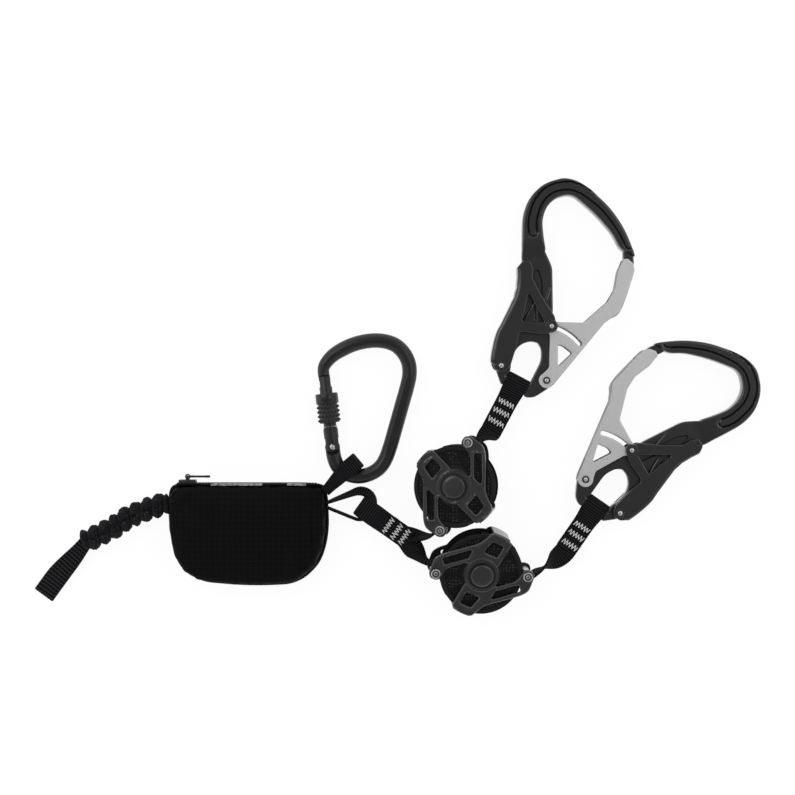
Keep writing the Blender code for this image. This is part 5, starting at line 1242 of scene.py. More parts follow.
rim = REEL_RADIUS
flange_top = [
    (rim - 0.0002, SPOOL_INNER), (rim, SPOOL_INNER + 0.0003), (rim, SPOOL_OUTER - 0.0004),
    (rim - 0.0004, SPOOL_OUTER), (rim - 0.0030, SPOOL_OUTER), (rim - 0.0034, SPOOL_OUTER - 0.0005),
    (rim - 0.0038, SPOOL_OUTER - 0.0002), (rim - 0.0042, SPOOL_OUTER - 0.0002),
    (SPOOL_CORE_RADIUS + 0.004, SPOOL_OUTER - 0.0002), (SPOOL_CORE_RADIUS + 0.0035, SPOOL_OUTER),
    (AXLE_RADIUS + SEAT_GAP, SPOOL_OUTER),
]
chamber = [
    (AXLE_RADIUS + SEAT_GAP, SPOOL_INNER), (SPOOL_CHAMBER_RADIUS, SPOOL_INNER),
    (SPOOL_CHAMBER_RADIUS, -SPOOL_INNER), (AXLE_RADIUS + SEAT_GAP, -SPOOL_INNER),
]
spool_profile = [(SPOOL_CORE_RADIUS, 0.0), (SPOOL_CORE_RADIUS, SPOOL_INNER)] + flange_top + chamber
spool_profile += [(radius, -height) for radius, height in flange_top[::-1]]
spool_profile.append((SPOOL_CORE_RADIUS, -SPOOL_INNER))
spool_marks = [float(SPOOL_CORE_RADIUS + 0.0036 < radius < rim - 0.0036 and abs(height) > SPOOL_INNER)
               for radius, height in spool_profile]
spool_mesh = turned_ring("reel_spool", spool_profile, marks=spool_marks)

cap_base = HUB_RING_TOP + SEAT_GAP
cap_profile = [(0, cap_base), (HUB_CAP_RADIUS - 0.0003, cap_base), (HUB_CAP_RADIUS, cap_base + 0.0004),
               (HUB_CAP_RADIUS, HUB_CAP_TOP - 0.0012), (HUB_CAP_RADIUS - 0.0003, HUB_CAP_TOP - 0.0007),
               (HUB_CAP_RADIUS - 0.0008, HUB_CAP_TOP - 0.0004)]
cap_profile += [(HUB_CAP_RADIUS * share, HUB_CAP_TOP - 0.0003 * share * share)
                for share in (0.8, 0.6, 0.4, 0.2)]
cap_profile.append((0, HUB_CAP_TOP))
cap_mesh = lathe("hub_cap", cap_profile, steps=64)

head_base = FRAME_OUTER + SEAT_GAP
post_half = [
    (POST_RADIUS, 0), (POST_RADIUS, FRAME_INNER - SEAT_GAP), (POST_STEM_RADIUS, FRAME_INNER - SEAT_GAP),
    (POST_STEM_RADIUS, head_base), (POST_HEAD_RADIUS, head_base), (POST_HEAD_RADIUS, head_base + 0.0006),
    (POST_HEAD_RADIUS - 0.0003, head_base + 0.0009), (POST_GROOVE[1], head_base + 0.0009),
    (POST_GROOVE[1] - 0.0001, head_base + 0.0001), (POST_GROOVE[0] + 0.0001, head_base + 0.0001),
    (POST_GROOVE[0], head_base + 0.0007), (POST_GROOVE[0] - 0.0003, head_base + 0.0010),
    (0.0007, head_base + 0.0010), (0.0006, head_base + 0.0003), (0, head_base + 0.0003),
]
post_mesh = lathe("guide_post", mirrored(post_half), steps=40)
post_mesh.materials.append(stainless_steel)
post_mesh.materials.append(anodised_aluminium)
# Painted shade: the groove's floor and the hole in each head take the black anodised finish, for the shade in
# these recesses.
for face in post_mesh.polygons:
    out = math.hypot(face.center.x, face.center.y)
    grooved = POST_GROOVE[0] < out < POST_GROOVE[1] and abs(face.normal.z) > 0.5
    face.material_index = int(grooved or out < 0.0006)

coil_outer = WRAP_RADIUS - STRAP_THICKNESS - 0.0004
coil_inner = SPOOL_CORE_RADIUS + SEAT_GAP + STRAP_THICKNESS / 2
for reel, hub in REELS.items():
    spin = f"{reel}_spool_body"
    below = hub @ Matrix.Rotation(math.pi, 4, "X")
    for word, mesh, plastic, body, slot, place, node in (
        ("frame_upper", reel_frame_mesh.copy(), filled_nylon, "lanyard", "plastic", hub, "frame_front"),
        ("frame_lower", flipped(reel_frame_mesh), filled_nylon, "lanyard", "plastic", hub, "frame_rear"),
        ("flanged_spool", spool_mesh.copy(), looped_nylon, spin, "spool_plastic", hub, "spool"),
        ("cap_upper", cap_mesh.copy(), filled_nylon, "lanyard", "plastic", hub, "hub_cap_front"),
        ("cap_lower", cap_mesh.copy(), filled_nylon, "lanyard", "plastic", below, "hub_cap_rear"),
    ):
        piece(f"{reel}_{word}", mesh, plastic, body, slot, f"{reel}_{node}", place=place)
    for word, side in (("top", 1), ("bottom", -1)):
        piece(f"{reel}_post_{word}", post_mesh.copy(), None, "lanyard", "steel", f"{reel}_guide_post_{word}",
              place=hub @ Matrix.Translation((0, side * POST_OFFSET, 0)))
    for word, start in (("inlet", 0.0), ("outlet", math.pi)):
        route = []
        for step in range(COIL_STEPS + 1):
            angle = 2 * math.pi * COIL_TURNS * step / COIL_STEPS
            radius = coil_inner + (coil_outer - coil_inner) * step / COIL_STEPS
            centre = Vector((math.cos(start + angle), math.sin(start + angle), 0)) * radius
            route.append((hub @ centre, (hub.to_3x3() @ UP).normalized(), STRAP_WIDTH))
        piece(f"{reel}_winding_{word}", band("winding", route), black_webbing, spin, "webbing",
              f"{reel}_coil_{word}")
    for word in ("axle", "power_spring"):
        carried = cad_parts[f"{reel}_{word}"]
        carried.data.materials.clear()
        carried.data.materials.append(stainless_steel)


# Anchor carabiner: round aluminium bar, bent and forged at its nose, black anodised. Its gate is a turned
# barrel on a riveted hinge, locked by a sleeve that screws up over the nose.

# The bar is bead-blasted before it is anodised, so it mirrors less of the room than the tumbled hooks.
blasted_aluminium = anodised_aluminium.copy()
blasted_aluminium.name = "bead-blasted anodised aluminium"
shader = blasted_aluminium.node_tree.nodes["Principled BSDF"]
shader.inputs["Metallic"].default_value = 0.10
shader.inputs["Specular IOR Level"].default_value = 0.35
shader.inputs["Coat Weight"].default_value = 0.30
shader.inputs["Coat Roughness"].default_value = 0.25

ANCHOR_LENGTH = 0.112
ANCHOR_PLACE = laid(0.0621, 0.064422, 0.0088, 0)
ANCHOR_CENTRE_LINE_SHARES = (
    (-0.051, 0.438), (-0.060, 0.506), (-0.038, 0.557), (0.019, 0.612), (0.121, 0.666),
    (0.223, 0.693), (0.317, 0.696), (0.402, 0.673), (0.461, 0.623), (0.496, 0.558),
    (0.505, 0.485), (0.491, 0.404), (0.453, 0.268), (0.415, 0.133), (0.378, 0.004),
    (0.347, -0.080), (0.309, -0.136), (0.254, -0.173), (0.188, -0.192), (0.127, -0.188),
    (0.073, -0.166), (0.030, -0.120), (0.009, -0.062), (0.000, 0.000),
)
ANCHOR_BAR_RADIUS = 0.0054
ANCHOR_NOSE_RADIUS = 0.0043
ANCHOR_TONGUE = 0.0046
GATE_LENGTH = 0.0524
GATE_LEAN = math.radians(6.6)
GATE_SHAFT_RADIUS = 0.0047
BARREL_RADIUS = 0.0054
BARREL_LENGTH = 0.0135
BARREL_TAIL = 0.0052
GATE_RING_START = 0.0147
SLEEVE_RADIUS = 0.0085
SLEEVE_BORE = 0.0049
SLEEVE_START = 0.0178
SLEEVE_LENGTH = 0.0218
SLEEVE_GRIP_SHARE = 0.64
HINGE_PIN_RADIUS = 0.0017
SPINE_FLATNESS = 0.10
SPINE_START, SPINE_END = (60, 68), (84, 92)


def settled(body):
    """The shape of an object as its modifiers leave it."""
    bpy.context.view_layer.update()
    return bpy.data.meshes.new_from_object(body.evaluated_get(bpy.context.evaluated_depsgraph_get()))


def carved(mesh, tools, operation="DIFFERENCE"):
    """The mesh with other solids cut away from it or joined to it."""
    body = placed("workpiece", mesh)
    made = [body]
    for tool, place in tools:
        cutter = placed("cutter", tool)
        cutter.matrix_world = place
        made.append(cutter)
        step = body.modifiers.new("cut", "BOOLEAN")
        step.operation = operation
        step.object = cutter
    result = settled(body)
    for each in made:
        bpy.data.objects.remove(each)
    return smoothed(result, 35)


def box_mesh(low, high):
    """A box between two corners."""
    xs, ys, zs = zip(low, high)
    points = [(x, y, z) for x in xs for y in ys for z in zs]
    shapes = [(0, 1, 3, 2), (4, 6, 7, 5), (0, 4, 5, 1), (2, 3, 7, 6), (0, 2, 6, 4), (1, 5, 7, 3)]
    mesh = bpy.data.meshes.new("box")
    mesh.from_pydata(points, [], shapes)
    return mesh


def rod(radius, low, high, steps=40):
    """A plain round bar, upright between two heights."""
    return lathe("rod", [(0, low), (radius, low), (radius, high), (0, high)], steps)


HERE = Matrix.Identity(4)
route = [point.to_3d() for point in smooth_line(sized(ANCHOR_CENTRE_LINE_SHARES, ANCHOR_LENGTH), 6)]
# The bar swells from its nose over the first stretch, and is pressed a little flat along its spine.
radii = [ANCHOR_NOSE_RADIUS + (ANCHOR_BAR_RADIUS - ANCHOR_NOSE_RADIUS) * max(0, min(1, (k / 3 - 2) / 5))
         for k in range(len(route))]
stations = np.arange(len(route))
flats = [1 - SPINE_FLATNESS * float(share)
         for share in eases(stations, *SPINE_START) * (1 - eases(stations, *SPINE_END))]
thin = ANCHOR_TONGUE / 2
hinge_reach = BARREL_RADIUS + SEAT_GAP * 2
hinge_bore = HINGE_PIN_RADIUS + SEAT_GAP
deep = SLEEVE_RADIUS
tools = []
for low, high in ((thin, deep), (-deep, -thin)):
    tools.append((rod(hinge_reach, low, high), HERE))
    tools.append((box_mesh((-deep, GATE_LENGTH - deep * 1.5, low), (deep, GATE_LENGTH + 0.0004, high)),
                  Matrix.Rotation(GATE_LEAN, 4, "Z")))
anchor_mesh = carved(bar_mesh("anchor_body", route, radii, sides=36, flat=flats), tools)
# The tongue is a hair smaller than the space that the cuts leave, so that no two faces coincide.
tongue = rod(BARREL_RADIUS - 0.00003, -thin + 0.00004, thin - 0.00004)
anchor_mesh = carved(anchor_mesh, [(tongue, HERE)], "UNION")
anchor_mesh = carved(anchor_mesh, [(rod(hinge_bore, -deep, deep), HERE)])
piece("anchor_bent_body", anchor_mesh, blasted_aluminium, "anchor_carabiner", "anodised", "anchor_body",
      place=ANCHOR_PLACE)

gate_place = ANCHOR_PLACE @ Matrix.Rotation(GATE_LEAN, 4, "Z") @ Matrix.Rotation(-math.pi / 2, 4, "X")
barrel, shaft = BARREL_RADIUS, GATE_SHAFT_RADIUS
profile = [(0, -BARREL_TAIL)]
profile += [(barrel * math.sin(t), -BARREL_TAIL * 0.35 - BARREL_TAIL * 0.65 * math.cos(t))
            for t in (0.2, 0.45, 0.7, 0.95, 1.2, 1.45)]
profile += [(barrel, 0), (barrel, BARREL_LENGTH - 0.0003), (barrel - 0.0003, BARREL_LENGTH),
            (shaft + 0.0003, BARREL_LENGTH + 0.0008), (shaft, BARREL_LENGTH + 0.0011),
            (shaft, GATE_LENGTH - 0.0008), (shaft - 0.0003, GATE_LENGTH - 0.0003),
            (shaft - 0.0009, GATE_LENGTH), (0, GATE_LENGTH)]
slot = thin + SEAT_GAP
fork = hinge_reach + SEAT_GAP
gate_mesh = carved(lathe("anchor_gate", profile), [
    (box_mesh((-barrel * 2, -slot, -fork), (barrel * 2, slot, fork)), HERE),
    (box_mesh((-barrel * 2, -slot, GATE_LENGTH - 0.0080), (barrel * 2, slot, GATE_LENGTH + 0.002)), HERE),
    (rod(hinge_bore, -deep, deep), Matrix.Rotation(math.pi / 2, 4, "X")),
])
piece("anchor_barrel_gate", gate_mesh, blasted_aluminium, "anchor_gate_body", "anodised", "anchor_gate",
      place=gate_place)
ring = [(shaft - 0.0001, GATE_RING_START), (shaft + 0.0006, GATE_RING_START),
        (shaft + 0.0008, GATE_RING_START + 0.0002), (shaft + 0.0006, GATE_RING_START + 0.0005),
        (shaft - 0.0001, GATE_RING_START + 0.0005)]
piece("anchor_gate_ring", turned_ring("gate_ring", ring, steps=48), stainless_steel, "anchor_gate_body",
      "steel", place=gate_place)

# The sleeve: a smooth collar, and below it a grip knurled with four rows of raised knobs. The knobs' crowns are
# painted lighter, as on the anodised edges partly wear and partly painted highlight.
KNOB_ROWS = 4
KNOBS = 18
KNOB_HEIGHT = 0.0013
GRIP_STEPS = 40
collar = SLEEVE_START + SLEEVE_LENGTH * SLEEVE_GRIP_SHARE
top = SLEEVE_START + SLEEVE_LENGTH
grip = collar - SLEEVE_START
levels = [(SLEEVE_BORE, SLEEVE_START, 0), (SLEEVE_RADIUS - 0.0016, SLEEVE_START, 0)]
for k in range(GRIP_STEPS + 1):
    height = SLEEVE_START + 0.0003 + (grip - 0.0009) * k / GRIP_STEPS
    levels.append((SLEEVE_RADIUS - 0.0013, height, math.sin(math.pi * KNOB_ROWS * k / GRIP_STEPS) ** 2))
levels += [(SLEEVE_RADIUS - drop, height, 0) for drop, height in (
    (0.0014, collar - 0.0004), (0.0014, collar), (0.0005, collar + 0.0001), (0.0002, collar + 0.0004),
    (0.0002, top - 0.0008), (0.0006, top - 0.0002), (0.0010, top),
)]
rings, masks = [], []
for radius, height, knob in levels + [(SLEEVE_BORE, top, 0)]:
    row = math.floor((height - SLEEVE_START) / grip * KNOB_ROWS)
    swells = [knob * max(0.0, 0.35 + 0.65 * math.cos(KNOBS * turn + math.pi * (row % 2)))
              for turn in turns_of(KNOBS * 8)]
    outs = [radius + KNOB_HEIGHT * swell for swell in swells]
    rings.append([(out * math.cos(turn), out * math.sin(turn), height)
                  for out, turn in zip(outs, turns_of(KNOBS * 8))])
    masks += [min(1.0, swell * 0.9) for swell in swells]
sleeve_mesh = skinned("anchor_sleeve", rings, looped=True, angle=60)
marked(sleeve_mesh, masks)
piece("anchor_screw_sleeve", sleeve_mesh, blasted_aluminium, "anchor_sleeve_body", "anodised", "anchor_sleeve",
      place=gate_place)

half = BARREL_RADIUS
head = [(HINGE_PIN_RADIUS, 0), (HINGE_PIN_RADIUS, half - 0.0002), (HINGE_PIN_RADIUS * 0.9, half),
        (HINGE_PIN_RADIUS * 0.5, half + 0.0002), (0, half + 0.0003)]
piece("anchor_hinge_rivet", lathe("hinge_pin", mirrored(head), steps=32), stainless_steel, "anchor_carabiner",
      "steel", "anchor_gate_pin", place=ANCHOR_PLACE)


# The harness loop: one band of webbing from the pouch's corner, round the anchor carabiner's bar and back,
# bunched where the pouch's seam holds it.

LOOP_RADIUS = 0.0090
LOOP_SLACK = 0.0047
LOOP_SKEW = math.radians(-14.5)
LOOP_WIDTH = 0.0125
BUNCHED_WIDTH = LOOP_WIDTH * 0.62
LOOP_STATION = 20
POUCH_SEAM = Vector((0.053475, 0.02829, 0.01176))
anchor_route = sized(ANCHOR_CENTRE_LINE_SHARES, ANCHOR_LENGTH)
loop_at = ANCHOR_PLACE @ anchor_route[LOOP_STATION].to_3d()
across = heading(anchor_route, LOOP_STATION).normalized().to_3d()
outward = UP.cross(across)
if outward.dot(POUCH_SEAM - loop_at) < 0:
    outward = -outward
away = (POUCH_SEAM - loop_at).normalized()
skew = Matrix.Rotation(LOOP_SKEW, 3, "Z")
across, outward = skew @ across, skew @ outward
bend = fold_round(loop_at - outward * LOOP_SLACK, -outward, across, LOOP_RADIUS, LOOP_WIDTH)
clear = POUCH_SEAM - away * (STRAP_WIDTH * 0.3)
lower = (clear - UP * PLY_OFFSET, across, BUNCHED_WIDTH)
upper = (clear + UP * PLY_OFFSET, across, BUNCHED_WIDTH)
pull = away * (POUCH_SEAM - loop_at).length
stations = [lower] + span(lower, -pull * 0.6, bend[0], -outward * pull.length * 0.8)
stations += bend + span(bend[-1], outward * pull.length * 0.8, upper, pull * 0.6) + [upper]
piece("harness_webbing_loop", band("harness", stations), black_webbing, "lanyard", "webbing", "harness_loop")


# The pouch: coated ripstop nylon, cut in two panels and sewn round its edge into smooth piping, with the
# folded absorber inside pushing it up. Its front is a padded shell. The place of its print is left bare.

POUCH_LENGTH = 0.115
POUCH_HEIGHT = 0.028
POUCH_BACK = 0.0024
POUCH_CORNER = 0.004
PIPING_RADIUS = 0.0012
POUCH_OUTLINE_SHARES = (
    (-0.496, 0.267), (-0.481, 0.299), (-0.423, 0.312), (-0.353, 0.315), (0.379, 0.315),
    (0.477, 0.302), (0.493, 0.229), (0.500, 0.057), (0.487, -0.051), (0.449, -0.172),
    (0.360, -0.264), (0.271, -0.306), (0.099, -0.315), (-0.060, -0.312), (-0.283, -0.293),
    (-0.385, -0.242), (-0.436, -0.185), (-0.474, -0.089), (-0.493, 0.038), (-0.500, 0.153),
)
PAD_VOXEL = 0.0045
PAD_PRESSURE = 4.0
PAD_FRAMES = 20
PAD_TRAVEL = 0.0035
PAD_SPREAD = 0.0009
POUCH_WALL = 0.0361
RIPSTOP_PITCH = 0.0042
RIPSTOP_SWAY = 0.0016
WEAVE_SIZE = 0.0008

# Ripstop nylon: a fine plain weave with a thicker thread every few millimetres both ways, and a soft coating.
# The weave itself is about 0.2 mm and is drawn at 0.8 mm, as fine as the render can show.
ripstop_nylon, tree, shader = finish("coated ripstop nylon", 0.85, Specular_IOR_Level=0.10)
where = add(tree, "ShaderNodeTexCoord")
sway = add(tree, "ShaderNodeTexNoise", {"Scale": 40, "Detail": 2}, {"Vector": where.outputs["Object"]})
shift = add(tree, "ShaderNodeVectorMath", {1: (RIPSTOP_SWAY, RIPSTOP_SWAY, 0)}, {0: sway.outputs["Color"]},
            operation="MULTIPLY")
bent = add(tree, "ShaderNodeVectorMath", links={0: where.outputs["Object"], 1: shift.outputs[0]},
           operation="ADD")
parts = add(tree, "ShaderNodeSeparateXYZ", links={0: bent.outputs[0]})
threads = []
for axis in ("X", "Y"):
    cell = add(tree, "ShaderNodeMath", {1: 1 / RIPSTOP_PITCH}, {0: parts.outputs[axis]}, operation="MULTIPLY")
    fold = add(tree, "ShaderNodeMath", {1: 0.5}, {0: cell.outputs[0]}, operation="PINGPONG")
    threads.append(add(tree, "ShaderNodeMapRange", {1: 0.0, 2: 0.10, 3: 1.0, 4: 0.0}, {0: fold.outputs[0]}))
grid = add(tree, "ShaderNodeMath", links={0: threads[0].outputs[0], 1: threads[1].outputs[0]},
           operation="MAXIMUM")
weave = add(tree, "ShaderNodeTexNoise", {"Scale": 1 / WEAVE_SIZE, "Detail": 2},
            {"Vector": where.outputs["Object"]})
cloud = add(tree, "ShaderNodeTexNoise", {"Scale": 55, "Detail": 3}, {"Vector": where.outputs["Object"]})
mixed = add(tree, "ShaderNodeMath", {1: 0.55}, {0: cloud.outputs["Fac"], 2: weave.outputs["Fac"]},
            operation="MULTIPLY_ADD")
base = add(tree, "ShaderNodeValToRGB", links={"Fac": mixed.outputs[0]},
           stops=((0.4, "#040405"), (1.0, "#0c0c0d")))
lines = add(tree, "ShaderNodeMath", {1: 0.55}, {0: grid.outputs[0]}, operation="MULTIPLY")
threaded = add(tree, "ShaderNodeMixRGB", {"Color2": linear("#161618")},
               {"Color1": base.outputs["Color"], "Fac": lines.outputs[0]})
height = add(tree, "ShaderNodeMath", {1: 0.5}, {0: weave.outputs["Fac"], 2: grid.outputs[0]},
             operation="MULTIPLY_ADD")
bump = add(tree, "ShaderNodeBump", {"Strength": 0.28, "Distance": 0.0002}, {"Height": height.outputs[0]})
wire(tree, shader, {"Base Color": threaded.outputs["Color"], "Normal": bump.outputs[0]})

# Piping: smooth polyurethane-coated tape over a cord, so it shines only faintly.
piping_tape = grained(
    "polyurethane-coated tape", 0.6, size=0.002, detail=3, dark="#080809", light="#131314",
    bump=(0.25, 0.0002), Specular_IOR_Level=0.25)

pouch_outline = evenly(eased(sized(POUCH_OUTLINE_SHARES, POUCH_LENGTH), POUCH_CORNER), 0.003, True)
base_level = POUCH_BACK + SEAT_GAP
# Rings of the outline, drawn in as they rise to the crown: each ring's share of the rise, and of the outline
PAD_RINGS = (
    (0.0, 0.985), (0.25, 1.0), (0.50, 1.0), (0.68, 0.995), (0.82, 0.980), (0.92, 0.95), (0.98, 0.90),
    (1.01, 0.80), (1.03, 0.55), (1.04, 0.25),
)
PAD_RISE = POUCH_HEIGHT - 0.0025 - base_level
rings = [[(x * size, y * size, base_level + PAD_RISE * height) for x, y in pouch_outline]
         for height, size in PAD_RINGS]
pad = placed("pouch_padded_front", skinned("pouch_padded_front", rings))
skin = pad.modifiers.new("skin", "REMESH")
skin.mode = "VOXEL"
skin.voxel_size = PAD_VOXEL
pad.data = settled(pad)
pad.modifiers.clear()
rest = np.array([vertex.co[:] for vertex in pad.data.vertices])
held = pad.vertex_groups.new(name="sewn edge")
for index, place in enumerate(rest):
    weight = 1.0 - float(eases(place[2], base_level + 0.0015, base_level + 0.006))
    if weight > 0.01:
        held.add([index], weight, "REPLACE")
cloth = pad.modifiers.new("air", "CLOTH")
for name, value in (
    ("quality", 6), ("mass", 0.15), ("tension_stiffness", 12), ("compression_stiffness", 12),
    ("bending_stiffness", 0.6), ("use_pressure", True), ("uniform_pressure_force", PAD_PRESSURE),
    ("vertex_group_mass", "sewn edge"),
):
    setattr(cloth.settings, name, value)
cloth.settings.effector_weights.gravity = 0
cloth.point_cache.frame_start = 1
cloth.point_cache.frame_end = PAD_FRAMES
for step in range(1, PAD_FRAMES + 1):
    scene.frame_set(step)
puffed = settled(pad)
moved = np.array([vertex.co[:] for vertex in puffed.vertices]) - rest
for axes, limit in (([0, 1], PAD_SPREAD), ([2], PAD_TRAVEL)):
    far = np.maximum(np.linalg.norm(moved[:, axes], axis=1, keepdims=True), 1e-9)
    rest[:, axes] += moved[:, axes] * np.minimum(far, limit) / far
rest[:, 1] = np.minimum(rest[:, 1], POUCH_WALL)
pad.modifiers.clear()
scene.frame_set(1)
bpy.data.meshes.remove(puffed)
pad.vertex_groups.clear()
pad.data.vertices.foreach_set("co", rest.astype(np.float32).ravel())
finer = pad.modifiers.new("finer", "SUBSURF")
finer.levels = finer.render_levels = 2
pad.data = settled(pad)
pad.modifiers.clear()

# Seams and creases come after the puffing: a line of stitching down the right end, folds where the leash
# pulls at the left corner, and a few slack waves along the top edge and in the round corners.
END_SEAM_X = 0.0462
END_SEAM_LEAN = 0.03
END_SEAM_DEPTH = 0.0009
END_SEAM_WIDTH = 0.0009
TOP_CREASE_Y = 0.0315
TOP_CREASE_DEPTH = 0.0006
TOP_CREASE_WIDTH = 0.0008
SLACK_WAVE = 0.00035
WALL_WAVE = 0.0006
# Where folds meet at a corner, how far they reach, how deep and how many they are, and how they are turned
CORNER_FOLDS = ((-0.060, 0.022, 0.017, 0.0013, 9, 1.0), (0.056, 0.028, 0.014, 0.0010, 8, 0.0))
place = np.array([vertex.co[:] for vertex in pad.data.vertices])
x, y, z = place.T
around = np.arctan2(y, x)
high = eases(z, base_level + 0.004, base_level + 0.016)
crown = eases(z, base_level + 0.012, base_level + 0.022)
end_seam = END_SEAM_X - END_SEAM_LEAN * (y - 0.03)
dent = END_SEAM_DEPTH * np.exp(-((x - end_seam) / END_SEAM_WIDTH) ** 2) * eases(y, -0.030, 0.0)
top_crease = TOP_CREASE_Y + 0.0006 * np.sin(x * 120)
dent += TOP_CREASE_DEPTH * np.exp(-((y - top_crease) / TOP_CREASE_WIDTH) ** 2)
for corner_x, corner_y, reach, depth, folds, phase in CORNER_FOLDS:
    spread = np.hypot(x - corner_x, y - corner_y)
    turn = np.arctan2(y - corner_y, x - corner_x)
    dent += depth * np.exp(-(spread / reach) ** 2) * (0.5 + 0.5 * np.sin(turn * folds + phase)) * high
waves = SLACK_WAVE * np.sin(x * 210 + 2.2 * np.sin(y * 90)) * np.sin(y * 130 + 1.3 * np.sin(x * 75)) * crown
walls = WALL_WAVE * np.sin(around * 23 + 1.5 * np.sin(around * 5)) * high * (1 - crown)
place[:, 2] += (waves - dent) * high
out = np.stack([x, y], 1) / np.maximum(np.hypot(x, y), 1e-6)[:, None]
place[:, :2] += out * walls[:, None]
pad.data.vertices.foreach_set("co", place.astype(np.float32).ravel())
pad.data.shade_smooth()
pad.data.materials.clear()
pad.data.materials.append(ripstop_nylon)
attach(pad, "lanyard")
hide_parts("pouch_front", "absorber_pack")


back_panel = relief("back_panel", [[Vector(point) for point in pouch_outline]], [],
                    lambda points, edge: POUCH_BACK - rolled_edge(edge, 0.0008), flat_at(0.0),
                    edge=0.0008, pitch=0.004)
piece("pouch_back_panel", back_panel, ripstop_nylon, "lanyard", "fabric", "pouch_back")

area = sum(a[0] * b[1] - b[0] * a[1] for a, b in zip(pouch_outline, np.roll(pouch_outline, -1, 0)))
grown = beside(pouch_outline, (-1 if area > 0 else 1) * PIPING_RADIUS * 0.6, True)


def piped(name, line, radius, sides=14, flat=1.0):
    """A cord of one radius along a closed line of points. Flat is its depth as a share of its width."""
    rings = []
    for index, centre in enumerate(line):
        along = (line[(index + 1) % len(line)] - line[index - 1]).normalized()
        side = UP.cross(along).normalized()
        rise = along.cross(side)
        rings.append([centre + side * (radius * math.cos(turn)) + rise * (radius * flat * math.sin(turn))
                      for turn in turns_of(sides)])
    return skinned(name, rings, looped=True)


binding_line = [Vector((x, y, base_level)) for x, y in grown]
piece("pouch_piping", piped("piping", binding_line, PIPING_RADIUS), piping_tape, "lanyard", "binding",
      "pouch_binding")


# The zip stands on the pouch's top wall: a woven tape with moulded teeth, a cast slider and a thin pull rod.
# The tape is sewn in along the wall, and two runs of its upper edge are painted light grey as painted sheen.

ZIP_HALF = (POUCH_LENGTH - 0.011) / 2
ZIP_WALL = 0.315 * POUCH_LENGTH + SEAT_GAP
ZIP_LEVEL = POUCH_HEIGHT * 0.46
ZIP_TAPE_WIDTH = 0.012
ZIP_TAPE = 0.0011
TEETH_WIDTH = 0.0042
TEETH_DEPTH = 0.0009
TEETH_PITCH = 0.0021
TOOTH_HALF_SHARE = 0.36
TOOTH_REACH_SHARE = 0.44
TOOTH_SHIFT_SHARE = 0.06
ZIP_SHEEN_RUNS = ((-0.0260, 0.0115), (0.0294, 0.0432))

# Acetal: dense moulded plastic for the teeth, smooth and a little glossy.
moulded_acetal = grained("moulded acetal", 0.35, size=0.001, detail=2, dark="#141415", light="#242426")

# Lacquered zinc: the die-cast slider and pull rod, black lacquer over bright metal.
lacquered_zinc = grained(
    "lacquered die-cast zinc", 0.30, size=0.0009, detail=3, dark="#1d1d1f", light="#39393c",
    bump=(0.15, 0.0001), Metallic=0.5, Coat_Weight=0.4, Coat_Roughness=0.15)


def beveled(low, high, radius, segments=3):
    """A box between two corners with rounded edges."""
    body = placed("workpiece", box_mesh(low, high))
    soft = body.modifiers.new("soft", "BEVEL")
    soft.width = radius
    soft.segments = segments
    result = settled(body)
    bpy.data.objects.remove(body)
    return smoothed(result, 40)


tape_top = ZIP_LEVEL + ZIP_TAPE_WIDTH / 2
tape = beveled((-ZIP_HALF, ZIP_WALL, ZIP_LEVEL - ZIP_TAPE_WIDTH / 2), (ZIP_HALF, ZIP_WALL + ZIP_TAPE, tape_top),
               0.0004)
piece("zip_woven_tape", tape, ripstop_nylon, "lanyard", "fabric", "zip_tape")

# Painted sheen: two light grey strips on the tape's upper edge stand for the light that the edge catches.
zip_sheen_tape = grained(
    "polyester tape with painted sheen", 0.75, size=0.0022, detail=3, dark="#5c5c5e", light="#b4b4b6", spread=(0.35, 0.65))
sheen_strips = [beveled((start, ZIP_WALL, tape_top), (end, ZIP_WALL + ZIP_TAPE * 1.7, tape_top + 0.0004), 0.0001)
            for start, end in ZIP_SHEEN_RUNS]
piece("zip_tape_painted_sheen", joined("sheen_strips", sheen_strips), zip_sheen_tape, "lanyard", "fabric")
teeth = []
for k in range(int(2 * ZIP_HALF / TEETH_PITCH)):
    centre = -ZIP_HALF + TEETH_PITCH * (k + 0.5)
    level = ZIP_LEVEL + TEETH_WIDTH * (TOOTH_SHIFT_SHARE if k % 2 else -TOOTH_SHIFT_SHARE)
    half, reach = TEETH_PITCH * TOOTH_HALF_SHARE, TEETH_WIDTH * TOOTH_REACH_SHARE
    low = (centre - half, ZIP_WALL + ZIP_TAPE * 0.6, level - reach)
    high = (centre + half, ZIP_WALL + ZIP_TAPE + TEETH_DEPTH, level + reach)
    teeth.append(beveled(low, high, 0.0004, 1))
piece("zip_teeth", joined("zip_teeth", teeth), moulded_acetal, "lanyard", "fabric")

SLIDER_X = -0.04375
SLIDER_FRONT = 0.040725
POST_Y = 0.042925
# Each block's half width, its back and front from the slider's front, its foot and top from the tape's middle,
# and its edge's radius: two side walls, the front plate, and two lugs that hold the pull rod's post.
SLIDER_BLOCKS = (
    (0.00625, -0.0031, 0, -0.00425, -0.0026, 0.0005),
    (0.00625, -0.0031, 0, 0.0026, 0.00425, 0.0005),
    (0.0062, -0.0012, 0, -0.0041, 0.0041, 0.0005),
    (0.0012, -0.0006, POST_Y + 0.0008 - SLIDER_FRONT, 0.0019, 0.0030, 0.0004),
    (0.0012, -0.0006, POST_Y + 0.0008 - SLIDER_FRONT, -0.0030, -0.0019, 0.0004),
)
slider = [beveled((SLIDER_X - half, SLIDER_FRONT + back, ZIP_LEVEL + foot),
                  (SLIDER_X + half, SLIDER_FRONT + front, ZIP_LEVEL + head), radius)
          for half, back, front, foot, head, radius in SLIDER_BLOCKS]
post_line = [Vector((SLIDER_X, POST_Y, ZIP_LEVEL + z)) for z in (-0.0025, 0, 0.0025)]
slider.append(bar_mesh("slider_post", post_line, [0.0008] * 3, sides=16))
